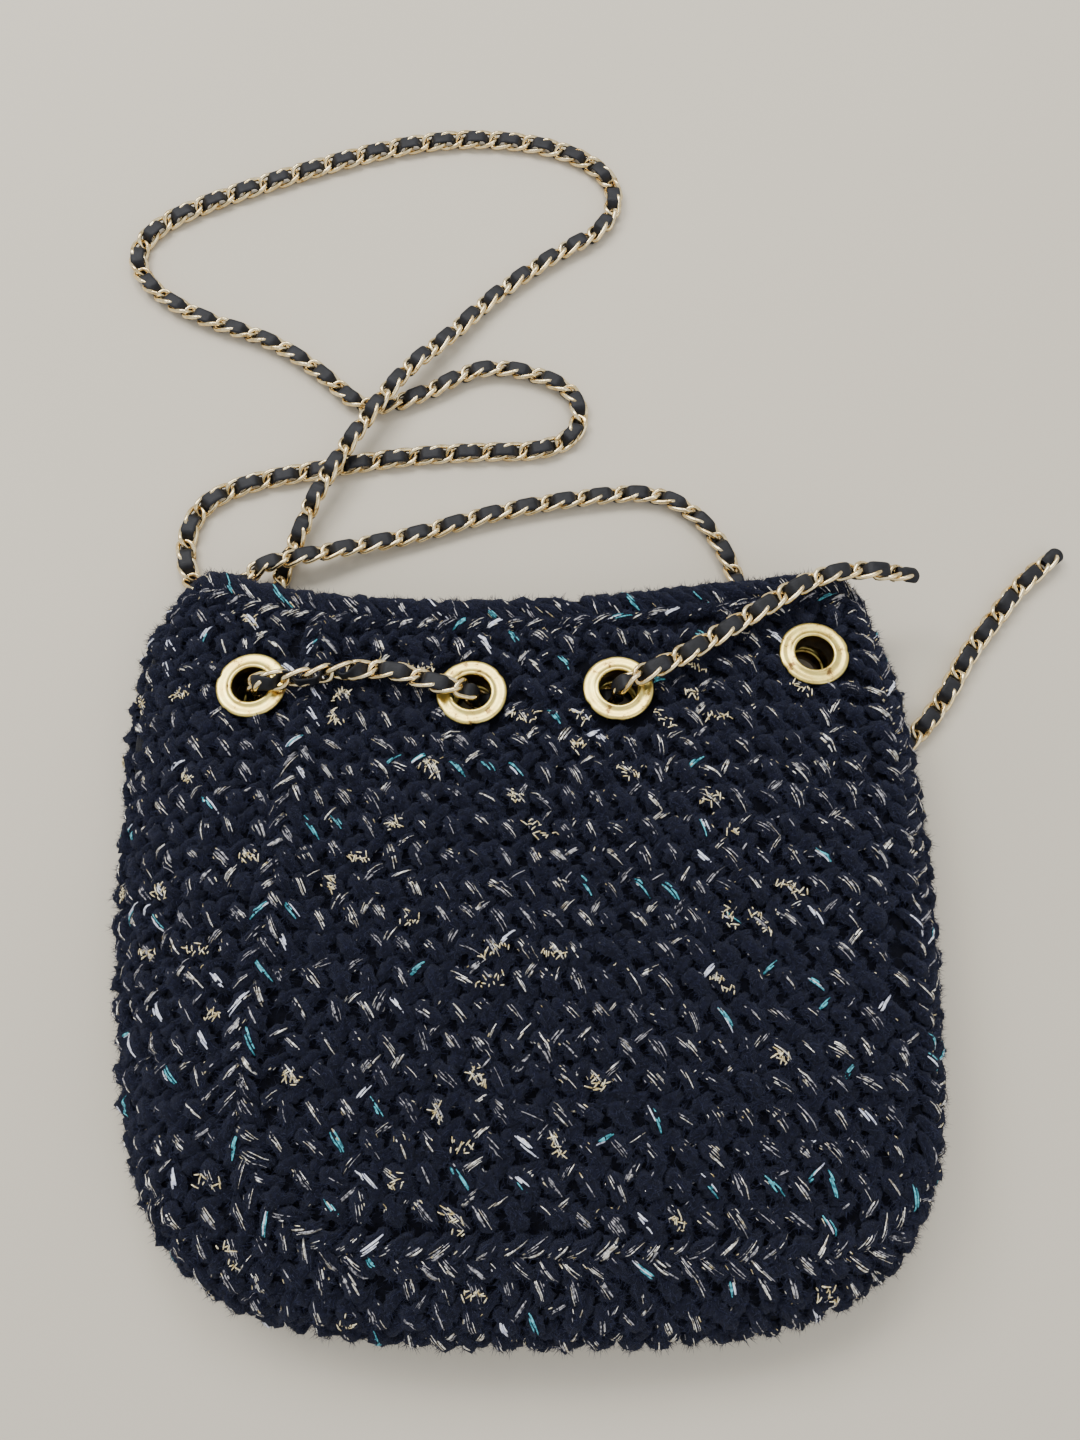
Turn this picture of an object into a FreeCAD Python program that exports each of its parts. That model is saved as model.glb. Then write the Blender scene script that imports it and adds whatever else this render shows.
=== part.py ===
import FreeCAD, Part
import math
import os
import Sketcher

# A crocheted bucket bag lying on its back, with a chain threaded through its eyelets as a
# drawstring and shoulder strap. Millimetres: +Z up from the table, +Y towards the mouth,
# +X to the right, origin under the middle of the bag. The empty bag lies flattened: a top
# layer (front panel and left gusset) over a bottom layer (back panel and right gusset),
# joined round the left, bottom and right edges and open at the mouth.

Vector = FreeCAD.Vector
doc = FreeCAD.newDocument("BucketBag")

# ---------------------------------------------------------------- driving dimensions (mm)
DIMENSIONS = [
    # plan outline of the flattened bag
    ("mouth_y", 116.0), ("mouth_left", -121.0), ("mouth_right", 108.5),
    ("side_left", -118.0), ("side_right", 122.5), ("base_y", -113.0),
    ("corner_left", 56.0), ("corner_right", 52.0),
    ("bow_left", 400.0), ("bow_right", 320.0), ("bow_base", 440.0),
    # side profile, along Y and Z
    ("end_y", -104.5), ("end_round", 16.2), ("end_top", 31.0), ("crown_round", 520.0),
    ("lift_y", 25.0), ("lifted_y", 58.0), ("lift_z", 9.0),
    ("knee_y", 40.0), ("knee_z", 36.5), ("mouth_z", 25.0),
    # cross profile, along X and Z
    ("fold_left", -131.0), ("fold_z", 13.0), ("slope_end", -88.0), ("top_limit", 41.0),
    ("slope_round", 90.0), ("edge_right", 129.0), ("edge_z", 14.0), ("edge_end", 104.0),
    ("edge_round", 34.0),
    # cloth
    ("crochet", 4.0), ("lining", 0.8), ("ridge", 1.2), ("band", 6.0), ("rim_y", 110.0),
    ("layer_gap", 0.4), ("part_low", 5.2), ("part_side", -62.0), ("part_reach", -40.0),
    # the front seam's line and the back seam's line, in plan
    ("seam_left_top", -65.0), ("seam_left", -80.0), ("seam_left_y", -50.0),
    ("seam_base_left", -44.0), ("seam_base", -88.0), ("seam_base_right", 82.0),
    ("seam_right", 115.0), ("seam_right_y", -52.0), ("seam_right_top", 108.0),
    ("seam_round_left", 40.0), ("seam_round_right", 38.0),
    ("back_left", -121.0), ("back_left_y", -54.0), ("back_base_left", -72.0),
    ("back_base", -102.0), ("back_base_right", 32.0), ("back_right", 64.0),
    ("back_right_y", -70.0), ("back_round_left", 52.0), ("back_round_right", 34.0),
    # eyelets, washers and the chain
    ("hole_radius", 7.0), ("drill_long", 14.0), ("drill_deep", 9.0), ("bore_radius", 6.0), ("barrel_radius", 6.7),
    ("flange_radius", 11.0), ("flange_edge", 0.5), ("flange_top", 1.2), ("lip", 0.5),
    ("washer_radius", 10.5), ("washer_bore", 6.9), ("washer_thick", 0.8),
    ("curl_radius", 7.7), ("curl_thick", 0.6),
    ("chain_wide", 7.0), ("held_chain", 5.5),
    ("tip_length", 8.0), ("tip_wide", 5.5), ("tip_thick", 2.6), ("tip_round", 0.8),
]
FAR = 150.0          # well outside the bag on every side
UNDER = 50.0         # well below the bag
MOUTH_REACH = 20.0   # how far the hollow runs past the mouth edge

sheet = doc.addObject("Spreadsheet::Sheet", "Dims")
for row, (alias, number) in enumerate(DIMENSIONS, start=1):
    sheet.set("A%d" % row, alias)
    sheet.set("B%d" % row, str(number))
    sheet.setAlias("B%d" % row, alias)
doc.recompute()
Dims = {alias: number for alias, number in DIMENSIONS}

# The eyelets: X and Y of each, the same on the front and on the back.
EYELETS = [(-86.0, 73.0), (-17.5, 70.5), (28.0, 72.0), (90.0, 84.0)]


def value(expression):
    """The number that an expression of the sheet's aliases gives."""
    return float(sheet.evalExpression(expression.replace("Dims.", "")))


# ---------------------------------------------------------------- sketches
def arc_between(start, end, radius):
    """The shorter arc that turns anticlockwise from start to end."""
    half_chord = (end - start) * 0.5
    inward = Vector(0, 0, 1).cross(half_chord).normalize()
    depth = math.sqrt(radius ** 2 - half_chord.Length ** 2)
    centre = start + half_chord + inward * depth
    first = math.atan2(start.y - centre.y, start.x - centre.x)
    last = math.atan2(end.y - centre.y, end.x - centre.x)
    return Part.ArcOfCircle(Part.Circle(centre, Vector(0, 0, 1), radius), first, last)


def outline(body, name, plane, corners):
    """A closed anticlockwise sketch through corners: (across, up, radius of the arc that
    leads to the next corner, or None for a line), each an expression of the sheet."""
    sketch = body.newObject("Sketcher::SketchObject", name)
    for origin_plane in body.Origin.OriginFeatures:
        if origin_plane.Role == plane:
            sketch.AttachmentSupport = [(origin_plane, "")]
    sketch.MapMode = "FlatFace"
    places = [Vector(value(across), value(up), 0) for across, up, radius in corners]
    count = len(corners)
    for index, (across, up, radius) in enumerate(corners):
        start = places[index]
        end = places[(index + 1) % count]
        if radius is None:
            sketch.addGeometry(Part.LineSegment(start, end), False)
        else:
            sketch.addGeometry(arc_between(start, end, value(radius)), False)
    for index in range(count):
        sketch.addConstraint(Sketcher.Constraint("Coincident", index, 2, (index + 1) % count, 1))
    for index, (across, up, radius) in enumerate(corners):
        bound = [("DistanceX", (-1, 1, index, 1), across), ("DistanceY", (-1, 1, index, 1), up)]
        if radius is not None:
            bound.append(("Radius", (index,), radius))
        for kind, geometry, expression in bound:
            number = sketch.addConstraint(
                Sketcher.Constraint(kind, *geometry, value(expression)))
            sketch.setExpression("Constraints[%d]" % number, expression)
    return sketch


def padded(name, plane, corners, length):
    """A body: the outline padded equally to both sides of its plane."""
    body = doc.addObject("PartDesign::Body", name)
    sketch = outline(body, name + "_sketch", plane, corners)
    pad = body.newObject("PartDesign::Pad", name + "_pad")
    pad.Profile = sketch
    pad.SideType = "Symmetric"
    pad.Length = length
    return body


def combine(kind, name, shapes):
    """A boolean of the document: Cut takes base and tool, the others take a list."""
    feature = doc.addObject("Part::" + kind, name)
    if kind == "Cut":
        feature.Base, feature.Tool = shapes
    else:
        feature.Shapes = shapes
    return feature


# ---------------------------------------------------------------- the bag's envelope
def plan_corners(inset, reach):
    """The bag seen from above, drawn in by inset, its mouth moved out by reach."""
    left = "Dims.side_left + (%s)" % inset
    right = "Dims.side_right - (%s)" % inset
    base = "Dims.base_y + (%s)" % inset
    mouth = "Dims.mouth_y + %s" % reach
    left_round = "Dims.corner_left - (%s)" % inset
    right_round = "Dims.corner_right - (%s)" % inset
    return [
        ("Dims.mouth_left + (%s)" % inset, mouth, "Dims.bow_left"),
        (left, "Dims.base_y + Dims.corner_left", left_round + " + 1"),
        ("Dims.side_left + Dims.corner_left", base, "Dims.bow_base"),
        ("Dims.side_right - Dims.corner_right", base, right_round + " + 1"),
        (right, "Dims.base_y + Dims.corner_right", "Dims.bow_right"),
        ("Dims.mouth_right - (%s)" % inset, mouth, None),
    ]


MOUTH_SLOPE = "(Dims.knee_z - Dims.mouth_z) / (Dims.mouth_y - Dims.knee_y)"


def side_corners(inset, reach):
    """The bag seen from its right side: flat base, lifted mouth, crowned top."""
    return [
        ("Dims.end_y - 0.5", "%s" % inset, None),
        ("Dims.lift_y", "%s" % inset, None),
        ("Dims.lifted_y", "Dims.lift_z + (%s)" % inset, None),
        ("Dims.mouth_y + %s" % reach, "Dims.lift_z + (%s)" % inset, None),
        ("Dims.mouth_y + %s" % reach,
         "Dims.mouth_z - (%s) - %s * %s" % (inset, reach, MOUTH_SLOPE), None),
        ("Dims.knee_y", "Dims.knee_z - (%s)" % inset, "Dims.crown_round"),
        ("Dims.end_y + 0.5", "Dims.end_top - (%s)" % inset, "Dims.end_round - (%s)" % inset),
    ]


def cross_corners(inset):
    """The bag seen from its base: the left gusset slopes down to a fold, the right edge
    is round. It reaches past the plan outline, which cuts its ends."""
    slope_in = "0.52 * (%s)" % inset
    slope_down = "0.86 * (%s)" % inset
    edge_in = "0.7 * (%s)" % inset
    return [
        ("-%s" % FAR, "-2", None),
        ("%s" % FAR, "-2", None),
        ("%s" % FAR, "Dims.edge_z - (%s)" % edge_in, None),
        ("Dims.edge_right - (%s)" % edge_in, "Dims.edge_z - (%s)" % edge_in, "Dims.edge_round"),
        ("Dims.edge_end - (%s)" % edge_in, "Dims.top_limit - (%s)" % edge_in, None),
        ("Dims.slope_end + %s" % slope_in, "Dims.top_limit - %s" % slope_down,
         "Dims.slope_round"),
        ("Dims.fold_left + %s" % slope_in, "Dims.fold_z - %s" % slope_down, None),
        ("-%s" % FAR, "Dims.fold_z - %s" % slope_down, None),
    ]


def envelope(name, inset, reach="0"):
    """The space inside three outlines: from above, from the side and from the base."""
    plan = padded(name + "_plan", "XY_Plane", plan_corners(inset, reach), 2 * FAR)
    side = padded(name + "_side", "YZ_Plane", side_corners(inset, reach), 2 * FAR)
    cross = padded(name + "_cross", "XZ_Plane", cross_corners(inset), 3 * FAR)
    return combine("MultiCommon", name, [plan, side, cross])


outside = envelope("outside", "0")
raised = envelope("raised", "-Dims.ridge")
hollow = envelope("hollow", "Dims.crochet", "%s" % MOUTH_REACH)
inside = envelope("inside", "Dims.crochet + Dims.lining", "%s" % MOUTH_REACH)


# ---------------------------------------------------------------- regions of the bag
def seam_region(name, grow):
    """Everything inside the front seam's line, moved out by grow."""
    corners = [
        ("Dims.seam_left_top - (%s)" % grow, "%s" % FAR, None),
        ("Dims.seam_left - (%s)" % grow, "Dims.seam_left_y",
         "Dims.seam_round_left + (%s)" % grow),
        ("Dims.seam_base_left", "Dims.seam_base - (%s)" % grow, None),
        ("Dims.seam_base_right", "Dims.seam_base - (%s)" % grow,
         "Dims.seam_round_right + (%s)" % grow),
        ("Dims.seam_right + (%s)" % grow, "Dims.seam_right_y", None),
        ("Dims.seam_right_top + (%s)" % grow, "%s" % FAR, None),
    ]
    return padded(name, "XY_Plane", corners, 2 * FAR)


def back_region(name, grow):
    """Everything inside the back seam's line: the left and bottom folds and, because the
    flattened bag is rolled to the right, a line under its right part."""
    corners = [
        ("Dims.back_left - (%s)" % grow, "%s" % FAR, None),
        ("Dims.back_left - (%s)" % grow, "Dims.back_left_y",
         "Dims.back_round_left + (%s)" % grow),
        ("Dims.back_base_left", "Dims.back_base - (%s)" % grow, None),
        ("Dims.back_base_right", "Dims.back_base - (%s)" % grow,
         "Dims.back_round_right + (%s)" % grow),
        ("Dims.back_right + (%s)" % grow, "Dims.back_right_y", None),
        ("Dims.back_right + (%s)" % grow, "%s" % FAR, None),
    ]
    return padded(name, "XY_Plane", corners, 2 * FAR)


def below_region(name, lift):
    """Everything lower than the bottom layer's underside plus lift."""
    corners = [
        ("-%s" % FAR, "-%s" % UNDER, None),
        ("%s" % FAR, "-%s" % UNDER, None),
        ("%s" % FAR, "Dims.lift_z + %s" % lift, None),
        ("Dims.lifted_y", "Dims.lift_z + %s" % lift, None),
        ("Dims.lift_y", "%s" % lift, None),
        ("-%s" % FAR, "%s" % lift, None),
    ]
    return padded(name, "YZ_Plane", corners, 4 * FAR)


def block(name, low, high):
    """A box between two corners, each a triple of expressions."""
    box = doc.addObject("Part::Box", name)
    for axis, size, first, last in zip("xyz", ("Length", "Width", "Height"), low, high):
        box.setExpression("Placement.Base." + axis, first)
        box.setExpression(size, "(%s) - (%s)" % (last, first))
    return box


def left_block(name, edge):
    """The left gusset's part of the plan, down to edge."""
    low = ("-%s" % FAR, edge, "-%s" % UNDER)
    return block(name, low, ("Dims.part_reach", "%s" % FAR, "%s" % FAR))


half_band = "Dims.band / 2"
seam_inner = seam_region("seam_inner", "-" + half_band)
seam_outer = seam_region("seam_outer", half_band)
seam_clear = seam_region("seam_clear", half_band + " + Dims.layer_gap")
seam_band = combine("Cut", "seam_band", [seam_outer, seam_inner])
back_inner = back_region("back_inner", "-" + half_band)
back_line = back_region("back_line", half_band)
left_fold = block("left_fold", ("-%s" % FAR, "Dims.back_left_y", "-%s" % UNDER),
                  ("Dims.back_left + Dims.band / 2", "%s" % FAR, "%s" % FAR))
back_outer = combine("MultiFuse", "back_outer", [back_line, left_fold])
back_band = combine("Cut", "back_band", [back_outer, back_inner])
below_low = below_region("below_low", "Dims.part_low")
below_high = below_region("below_high", "(Dims.part_low + Dims.layer_gap)")
left_near = left_block("left_near", "Dims.part_side + Dims.layer_gap")
left_clear = left_block("left_clear", "Dims.part_side")
rim_block = block("rim_block", ("-%s" % FAR, "Dims.rim_y", "-%s" % UNDER),
                  ("%s" % FAR, "%s" % FAR, "%s" % FAR))
yoke_block = block("yoke_block", ("-%s" % FAR, "Dims.lift_y", "-%s" % UNDER),
                   ("%s" % FAR, "%s" % FAR, "%s" % FAR))
lining_block = block("lining_block", ("-%s" % FAR, "-%s" % FAR, "-%s" % UNDER),
                     ("%s" % FAR, "Dims.rim_y + 3", "%s" % FAR))

top_plan = combine("MultiFuse", "top_plan", [seam_outer, left_near])
top_region = combine("Cut", "top_region", [top_plan, below_high])
clear_plan = combine("MultiFuse", "clear_plan", [seam_clear, left_clear])
clear_region = combine("Cut", "clear_region", [clear_plan, below_low])

# ---------------------------------------------------------------- shells
crochet_shell = combine("Cut", "crochet_shell", [outside, hollow])
raised_shell = combine("Cut", "raised_shell", [raised, hollow])
lining_walls = combine("Cut", "lining_walls", [hollow, inside])
lining_shell = combine("MultiCommon", "lining_shell", [lining_walls, lining_block])
top_shell = combine("MultiCommon", "top_shell", [crochet_shell, top_region])
top_raised = combine("MultiCommon", "top_raised", [raised_shell, top_region])
low_shell = combine("Cut", "low_shell", [crochet_shell, clear_region])
floor_shell = combine("MultiCommon", "floor_shell", [low_shell, below_low])


# ---------------------------------------------------------------- where the eyelets sit
def top_height(y):
    """The top layer's outer surface between the knee and the mouth."""
    slope = (Dims["knee_z"] - Dims["mouth_z"]) / (Dims["mouth_y"] - Dims["knee_y"])
    return Dims["knee_z"] - (y - Dims["knee_y"]) * slope


TOP_TILT = math.degrees(math.atan2(Dims["knee_z"] - Dims["mouth_z"],
                                   Dims["mouth_y"] - Dims["knee_y"]))
front_turn = FreeCAD.Rotation(Vector(1, 0, 0), -TOP_TILT)
back_turn = FreeCAD.Rotation(Vector(1, 0, 0), 180)
FRONT_SEATS = [FreeCAD.Placement(Vector(x, y, top_height(y)), front_turn) for x, y in EYELETS]
BACK_SEATS = [FreeCAD.Placement(Vector(x, y, Dims["lift_z"]), back_turn) for x, y in EYELETS]


def holes(name, seats):
    """The round holes that the eyelets' barrels pass through."""
    drills = []
    for number, seat in enumerate(seats, start=1):
        drill = doc.addObject("Part::Cylinder", "%s_%d" % (name, number))
        drill.setExpression("Radius", "Dims.hole_radius")
        drill.setExpression("Height", "Dims.drill_long")
        sunk = FreeCAD.Placement(Vector(0, 0, -Dims["drill_deep"]), FreeCAD.Rotation())
        drill.Placement = seat.multiply(sunk)
        drills.append(drill)
    return combine("MultiFuse", name, drills)


front_holes = holes("front_hole", FRONT_SEATS)
back_holes = holes("back_hole", BACK_SEATS)

# ---------------------------------------------------------------- the cloth sub-parts
front_area = combine("MultiCommon", "front_area", [top_shell, seam_inner])
front_trim = combine("MultiFuse", "front_trim", [rim_block, front_holes])
front_panel = combine("Cut", "front_panel", [front_area, front_trim])

left_area = combine("MultiCommon", "left_area", [top_shell, left_near])
left_trim = combine("MultiFuse", "left_trim", [seam_outer, rim_block, front_holes])
gusset_left = combine("Cut", "gusset_left", [left_area, left_trim])

seam_area = combine("MultiCommon", "seam_area", [top_raised, seam_band])
front_seam = combine("Cut", "front_seam", [seam_area, rim_block])
rim_front = combine("MultiCommon", "rim_front", [top_raised, rim_block])

# The bottom layer is in two parts: panel and gusset flat on the table, and from where it
# lifts, the yoke of each, which has the eyelets.
rim_trim = combine("MultiFuse", "rim_trim", [rim_block, back_holes])
back_area = combine("MultiCommon", "back_area", [floor_shell, back_inner])
back_panel = combine("Cut", "back_panel", [back_area, yoke_block])
back_yoke_area = combine("MultiCommon", "back_yoke_area", [back_area, yoke_block])
back_yoke = combine("Cut", "back_yoke", [back_yoke_area, rim_trim])

back_seam_area = combine("MultiCommon", "back_seam_area", [floor_shell, back_band])
back_seam = combine("Cut", "back_seam", [back_seam_area, rim_block])
rim_back = combine("MultiCommon", "rim_back", [low_shell, rim_block])

gusset_area = combine("Cut", "gusset_area", [floor_shell, back_outer])
gusset_right = combine("Cut", "gusset_right", [gusset_area, yoke_block])
gusset_yoke_area = combine("MultiCommon", "gusset_yoke_area", [gusset_area, yoke_block])
gusset_yoke = combine("Cut", "gusset_yoke", [gusset_yoke_area, rim_trim])
side_area = combine("Cut", "side_area", [low_shell, below_low])
gusset_side = combine("Cut", "gusset_side", [side_area, rim_block])

lining_top = combine("MultiCommon", "lining_top", [lining_shell, top_region])
lining_front = combine("Cut", "lining_front", [lining_top, front_holes])
lining_trim = combine("MultiFuse", "lining_trim", [clear_region, back_holes])
lining_back = combine("Cut", "lining_back", [lining_shell, lining_trim])

CLOTH = [front_panel, gusset_left, front_seam, rim_front, lining_front,
         back_panel, back_yoke, back_seam, gusset_right, gusset_yoke, gusset_side,
         rim_back, lining_back]


# ---------------------------------------------------------------- eyelets and washers
def turned(name, corners, seat):
    """A ring: its half section, in X and Z, revolved about Z and set on its seat."""
    body = doc.addObject("PartDesign::Body", name)
    sketch = outline(body, name + "_section", "XZ_Plane", corners)
    spin = body.newObject("PartDesign::Revolution", name + "_spin")
    spin.Profile = sketch
    spin.ReferenceAxis = (sketch, ["V_Axis"])
    spin.Angle = 360
    body.Placement = seat
    return body


UNDER = "-(Dims.crochet + Dims.lining + Dims.washer_thick)"


def eyelet(name, seat):
    """Flange outside, barrel through the cloth, end curled over the washer inside."""
    corners = [
        ("Dims.bore_radius", UNDER + " - Dims.curl_thick", None),
        ("Dims.curl_radius", UNDER + " - Dims.curl_thick", None),
        ("Dims.curl_radius", UNDER, None),
        ("Dims.barrel_radius", UNDER, None),
        ("Dims.barrel_radius", "0", None),
        ("Dims.flange_radius", "0", None),
        ("Dims.flange_radius", "Dims.flange_edge", "6"),
        ("Dims.bore_radius + Dims.lip", "Dims.flange_top", "Dims.lip + 0.1"),
        ("Dims.bore_radius", "Dims.flange_top - Dims.lip", None),
    ]
    return turned(name, corners, seat)


def washer(name, seat):
    """The plain ring inside the bag that the barrel is curled over."""
    top = "-(Dims.crochet + Dims.lining)"
    corners = [
        ("Dims.washer_bore", UNDER, None),
        ("Dims.washer_radius", UNDER, None),
        ("Dims.washer_radius", top, None),
        ("Dims.washer_bore", top, None),
    ]
    return turned(name, corners, seat)


METAL = []
for side, seats in (("front", FRONT_SEATS), ("back", BACK_SEATS)):
    for number, seat in enumerate(seats, start=1):
        METAL.append(eyelet("eyelet_%s_%d" % (side, number), seat))
        METAL.append(washer("washer_%s_%d" % (side, number), seat))

# ---------------------------------------------------------------- the chain's routes
# Each route is the middle line's corner points. The strap starts inside the bag, goes out
# through back eyelet 1, loops about the table above the mouth and under the bag's right
# top corner, and ends free. Where it passes over itself it rises to over a diameter.
STRAP = [
    (-86, 73, 19.5), (-86, 73, 3.5), (-87, 89.5, 3.5), (-89.5, 106, 3.5), (-86.5, 123, 3.5),
    (-81, 137, 5.5), (-75, 152, 11.5), (-61, 178, 11.5), (-45, 202, 11.5), (-31, 217, 5),
    (-13, 238, 3.5), (10, 256, 3.5), (29, 267, 3.5), (34, 285, 3.5), (24, 299, 3.5),
    (2, 308, 3.5), (-28, 310.5, 3.5), (-58, 305, 3.5), (-90, 294, 3.5), (-120, 282, 3.5),
    (-143, 270, 3.5), (-152, 255, 3.5), (-144, 240, 3.5), (-124, 227, 3.5),
    (-97, 218, 3.5), (-77, 204, 3.5), (-60, 187, 3.5), (-38, 195, 3.5), (-18, 207, 3.5),
    (4, 203, 3.5), (18, 194, 3.5), (18, 178, 3.5), (4, 171, 3.5), (-18, 171, 3.5),
    (-46, 169, 3.5), (-80, 163, 3.5), (-103, 158, 3.5), (-118, 149, 3.5),
    (-122, 132, 3.5), (-116, 116, 3.5), (-101, 116.5, 5), (-92.5, 124.5, 11.5),
    (-77, 127.5, 11.5), (-60, 133, 5.5), (-40, 138, 3.5), (-12, 147, 3.5), (20, 153, 3.5),
    (46, 155, 3.5), (62, 144, 3.5), (71, 127, 3.5), (74.5, 106, 3.5), (70.5, 84, 3.5),
    (73, 68, 3.5), (86, 58, 3.5), (103, 55.5, 3.5), (119, 57, 3.5), (130, 65, 3.5),
    (141, 78.5, 3.5), (150, 94, 3.5), (161.5, 107.5, 3.5), (170.5, 119, 3.5), (180, 126.5, 3.5),
]
TAIL = [
    (9.8, 71.4, 19.3), (28, 72, 19.3), (28, 72, 38), (44, 79, 38), (59, 88.5, 34.5),
    (75, 99, 33.5), (90.5, 108.5, 33), (106, 112.5, 32), (119, 112, 29),
]
SPAN = [
    (-86, 73, 24), (-86, 73, 36.6), (-72, 73.5, 36.6), (-57, 77, 36.2), (-41, 77, 36.2),
    (-29, 72.5, 36.6), (-17.5, 70.5, 36.6), (-17.5, 70.5, 19.3), (9.8, 71.4, 19.3),
]
STRETCH = [(-86, 73, 19.5), (-86, 73, 23.7)]
ARC_SHARE = 0.45     # how much of the shorter run an arc takes at each corner


def route_edges(points):
    """Straight runs joined by tangent arcs, and each arc's radius."""
    places = [Vector(*point) for point in points]
    edges = []
    radii = []
    start = places[0]
    for before, corner, after in zip(places, places[1:], places[2:]):
        back = before - corner
        ahead = after - corner
        half_turn = (math.pi - back.getAngle(ahead)) / 2
        trim = ARC_SHARE * min(back.Length, ahead.Length)
        radius = trim / math.tan(half_turn)
        first = corner + back.normalize() * trim
        last = corner + ahead.normalize() * trim
        to_centre = (back + ahead).normalize() * (radius / math.cos(half_turn))
        middle = corner + to_centre * (1 - math.cos(half_turn))
        edges.append(Part.LineSegment(start, first).toShape())
        edges.append(Part.Arc(first, middle, last).toShape())
        radii.append(radius)
        start = last
    edges.append(Part.LineSegment(start, places[-1]).toShape())
    return edges, radii


def tube(name, points, diameter):
    """A round tube along a route, compared with its section times its length."""
    edges, radii = route_edges(points)
    wire = Part.Wire(edges)
    along = Vector(*points[1]) - Vector(*points[0])
    circle = Part.Circle(Vector(*points[0]), along, diameter / 2).toShape()
    pipe = Part.BRepOffsetAPI.MakePipeShell(wire)
    pipe.setFrenetMode(False)
    pipe.add(Part.Wire(circle))
    pipe.build()
    pipe.makeSolid()
    feature = doc.addObject("Part::Feature", name)
    feature.Shape = Part.Solid(pipe.shape())
    expected = math.pi * diameter ** 2 / 4 * wire.Length
    print("%s: length %.0f mm, volume %.4f of section times length, radii %s"
          % (name, wire.Length, feature.Shape.Volume / expected,
             " ".join("%.0f" % radius for radius in radii)))
    return feature


def end_tip(name, points):
    """The folded leather that ends the ribbon, in line with the chain's last run."""
    tab = doc.addObject("Part::Box", name + "_tab")
    tab.setExpression("Length", "Dims.tip_length")
    tab.setExpression("Width", "Dims.tip_wide")
    tab.setExpression("Height", "Dims.tip_thick")
    doc.recompute()
    soft = doc.addObject("Part::Fillet", name)
    soft.Base = tab
    long_edges = [number for number, edge in enumerate(tab.Shape.Edges, start=1)
                  if abs(edge.tangentAt(edge.FirstParameter).x) > 0.9]
    soft.Edges = [(number, Dims["tip_round"], Dims["tip_round"]) for number in long_edges]
    end = Vector(*points[-1])
    along = end - Vector(*points[-2])
    heading = math.degrees(math.atan2(along.y, along.x))
    dip = math.degrees(math.atan2(-along.z, math.hypot(along.x, along.y)))
    turn = FreeCAD.Rotation(heading, dip, 0)
    corner = Vector(0, -Dims["tip_wide"] / 2, -Dims["tip_thick"] / 2)
    soft.Placement = FreeCAD.Placement(end + turn.multVec(corner), turn)
    return soft


CHAIN = [
    tube("strap_chain", STRAP, Dims["chain_wide"]),
    tube("tail_chain", TAIL, Dims["chain_wide"]),
    tube("held_chain", SPAN, Dims["held_chain"]),
    tube("crossing_chain", STRETCH, Dims["held_chain"]),
    end_tip("strap_tip", STRAP),
    end_tip("tail_tip", TAIL),
]

# ---------------------------------------------------------------- check and write
doc.recompute()
faults = [item.Name for item in doc.Objects
          if "Invalid" in item.State or "Error" in item.State]
if faults:
    raise RuntimeError("failed objects: " + ", ".join(faults))
os.makedirs("parts", exist_ok=True)
for part in CLOTH + METAL + CHAIN:
    part.Label = part.Name
    if part.Shape.isNull() or not part.Shape.isValid():
        raise RuntimeError("bad shape: " + part.Label)
    print("%-18s solids %d volume %8.0f" % (part.Label, len(part.Shape.Solids),
                                           part.Shape.Volume))
    part.Shape.exportStep("parts/%s.step" % part.Label)
bag = Part.makeCompound([part.Shape for part in CLOTH + METAL])
print("bag box", bag.BoundBox)
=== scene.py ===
import math

import bpy
import numpy as np
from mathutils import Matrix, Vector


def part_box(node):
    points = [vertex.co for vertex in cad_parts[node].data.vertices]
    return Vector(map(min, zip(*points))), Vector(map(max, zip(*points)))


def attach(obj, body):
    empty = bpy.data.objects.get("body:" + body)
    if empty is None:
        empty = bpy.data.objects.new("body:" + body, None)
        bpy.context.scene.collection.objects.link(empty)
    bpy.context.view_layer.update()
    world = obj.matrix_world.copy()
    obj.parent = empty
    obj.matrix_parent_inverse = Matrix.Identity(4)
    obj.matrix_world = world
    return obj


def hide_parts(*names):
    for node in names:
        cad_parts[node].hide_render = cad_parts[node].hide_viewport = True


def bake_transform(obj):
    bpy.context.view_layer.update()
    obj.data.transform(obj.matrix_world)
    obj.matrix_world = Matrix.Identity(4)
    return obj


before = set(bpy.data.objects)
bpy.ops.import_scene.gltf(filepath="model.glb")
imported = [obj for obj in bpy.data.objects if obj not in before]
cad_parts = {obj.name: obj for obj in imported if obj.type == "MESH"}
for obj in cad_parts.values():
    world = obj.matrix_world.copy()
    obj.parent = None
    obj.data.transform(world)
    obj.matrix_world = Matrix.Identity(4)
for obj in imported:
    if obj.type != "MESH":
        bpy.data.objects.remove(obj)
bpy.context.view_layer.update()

# A crocheted bucket bag lying on its back, with a leather-woven chain threaded through its
# eyelets. Metres, in the CAD model's frame: +Z up from the floor, +Y towards the mouth.

MM = 0.001
UP = np.array([0.0, 0.0, 1.0])
FLIPPED = [0, 3, 2, 1]     # a quad's corners turned the other way round


def node_box(name):
    """A CAD node's lowest and highest corners as arrays."""
    low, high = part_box(name)
    return np.array(low), np.array(high)


# ======== small mesh helpers
def unit(vectors):
    """Vectors cut to length 1."""
    length = np.linalg.norm(vectors, axis=-1, keepdims=True)
    return vectors / np.maximum(length, 1e-12)


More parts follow.
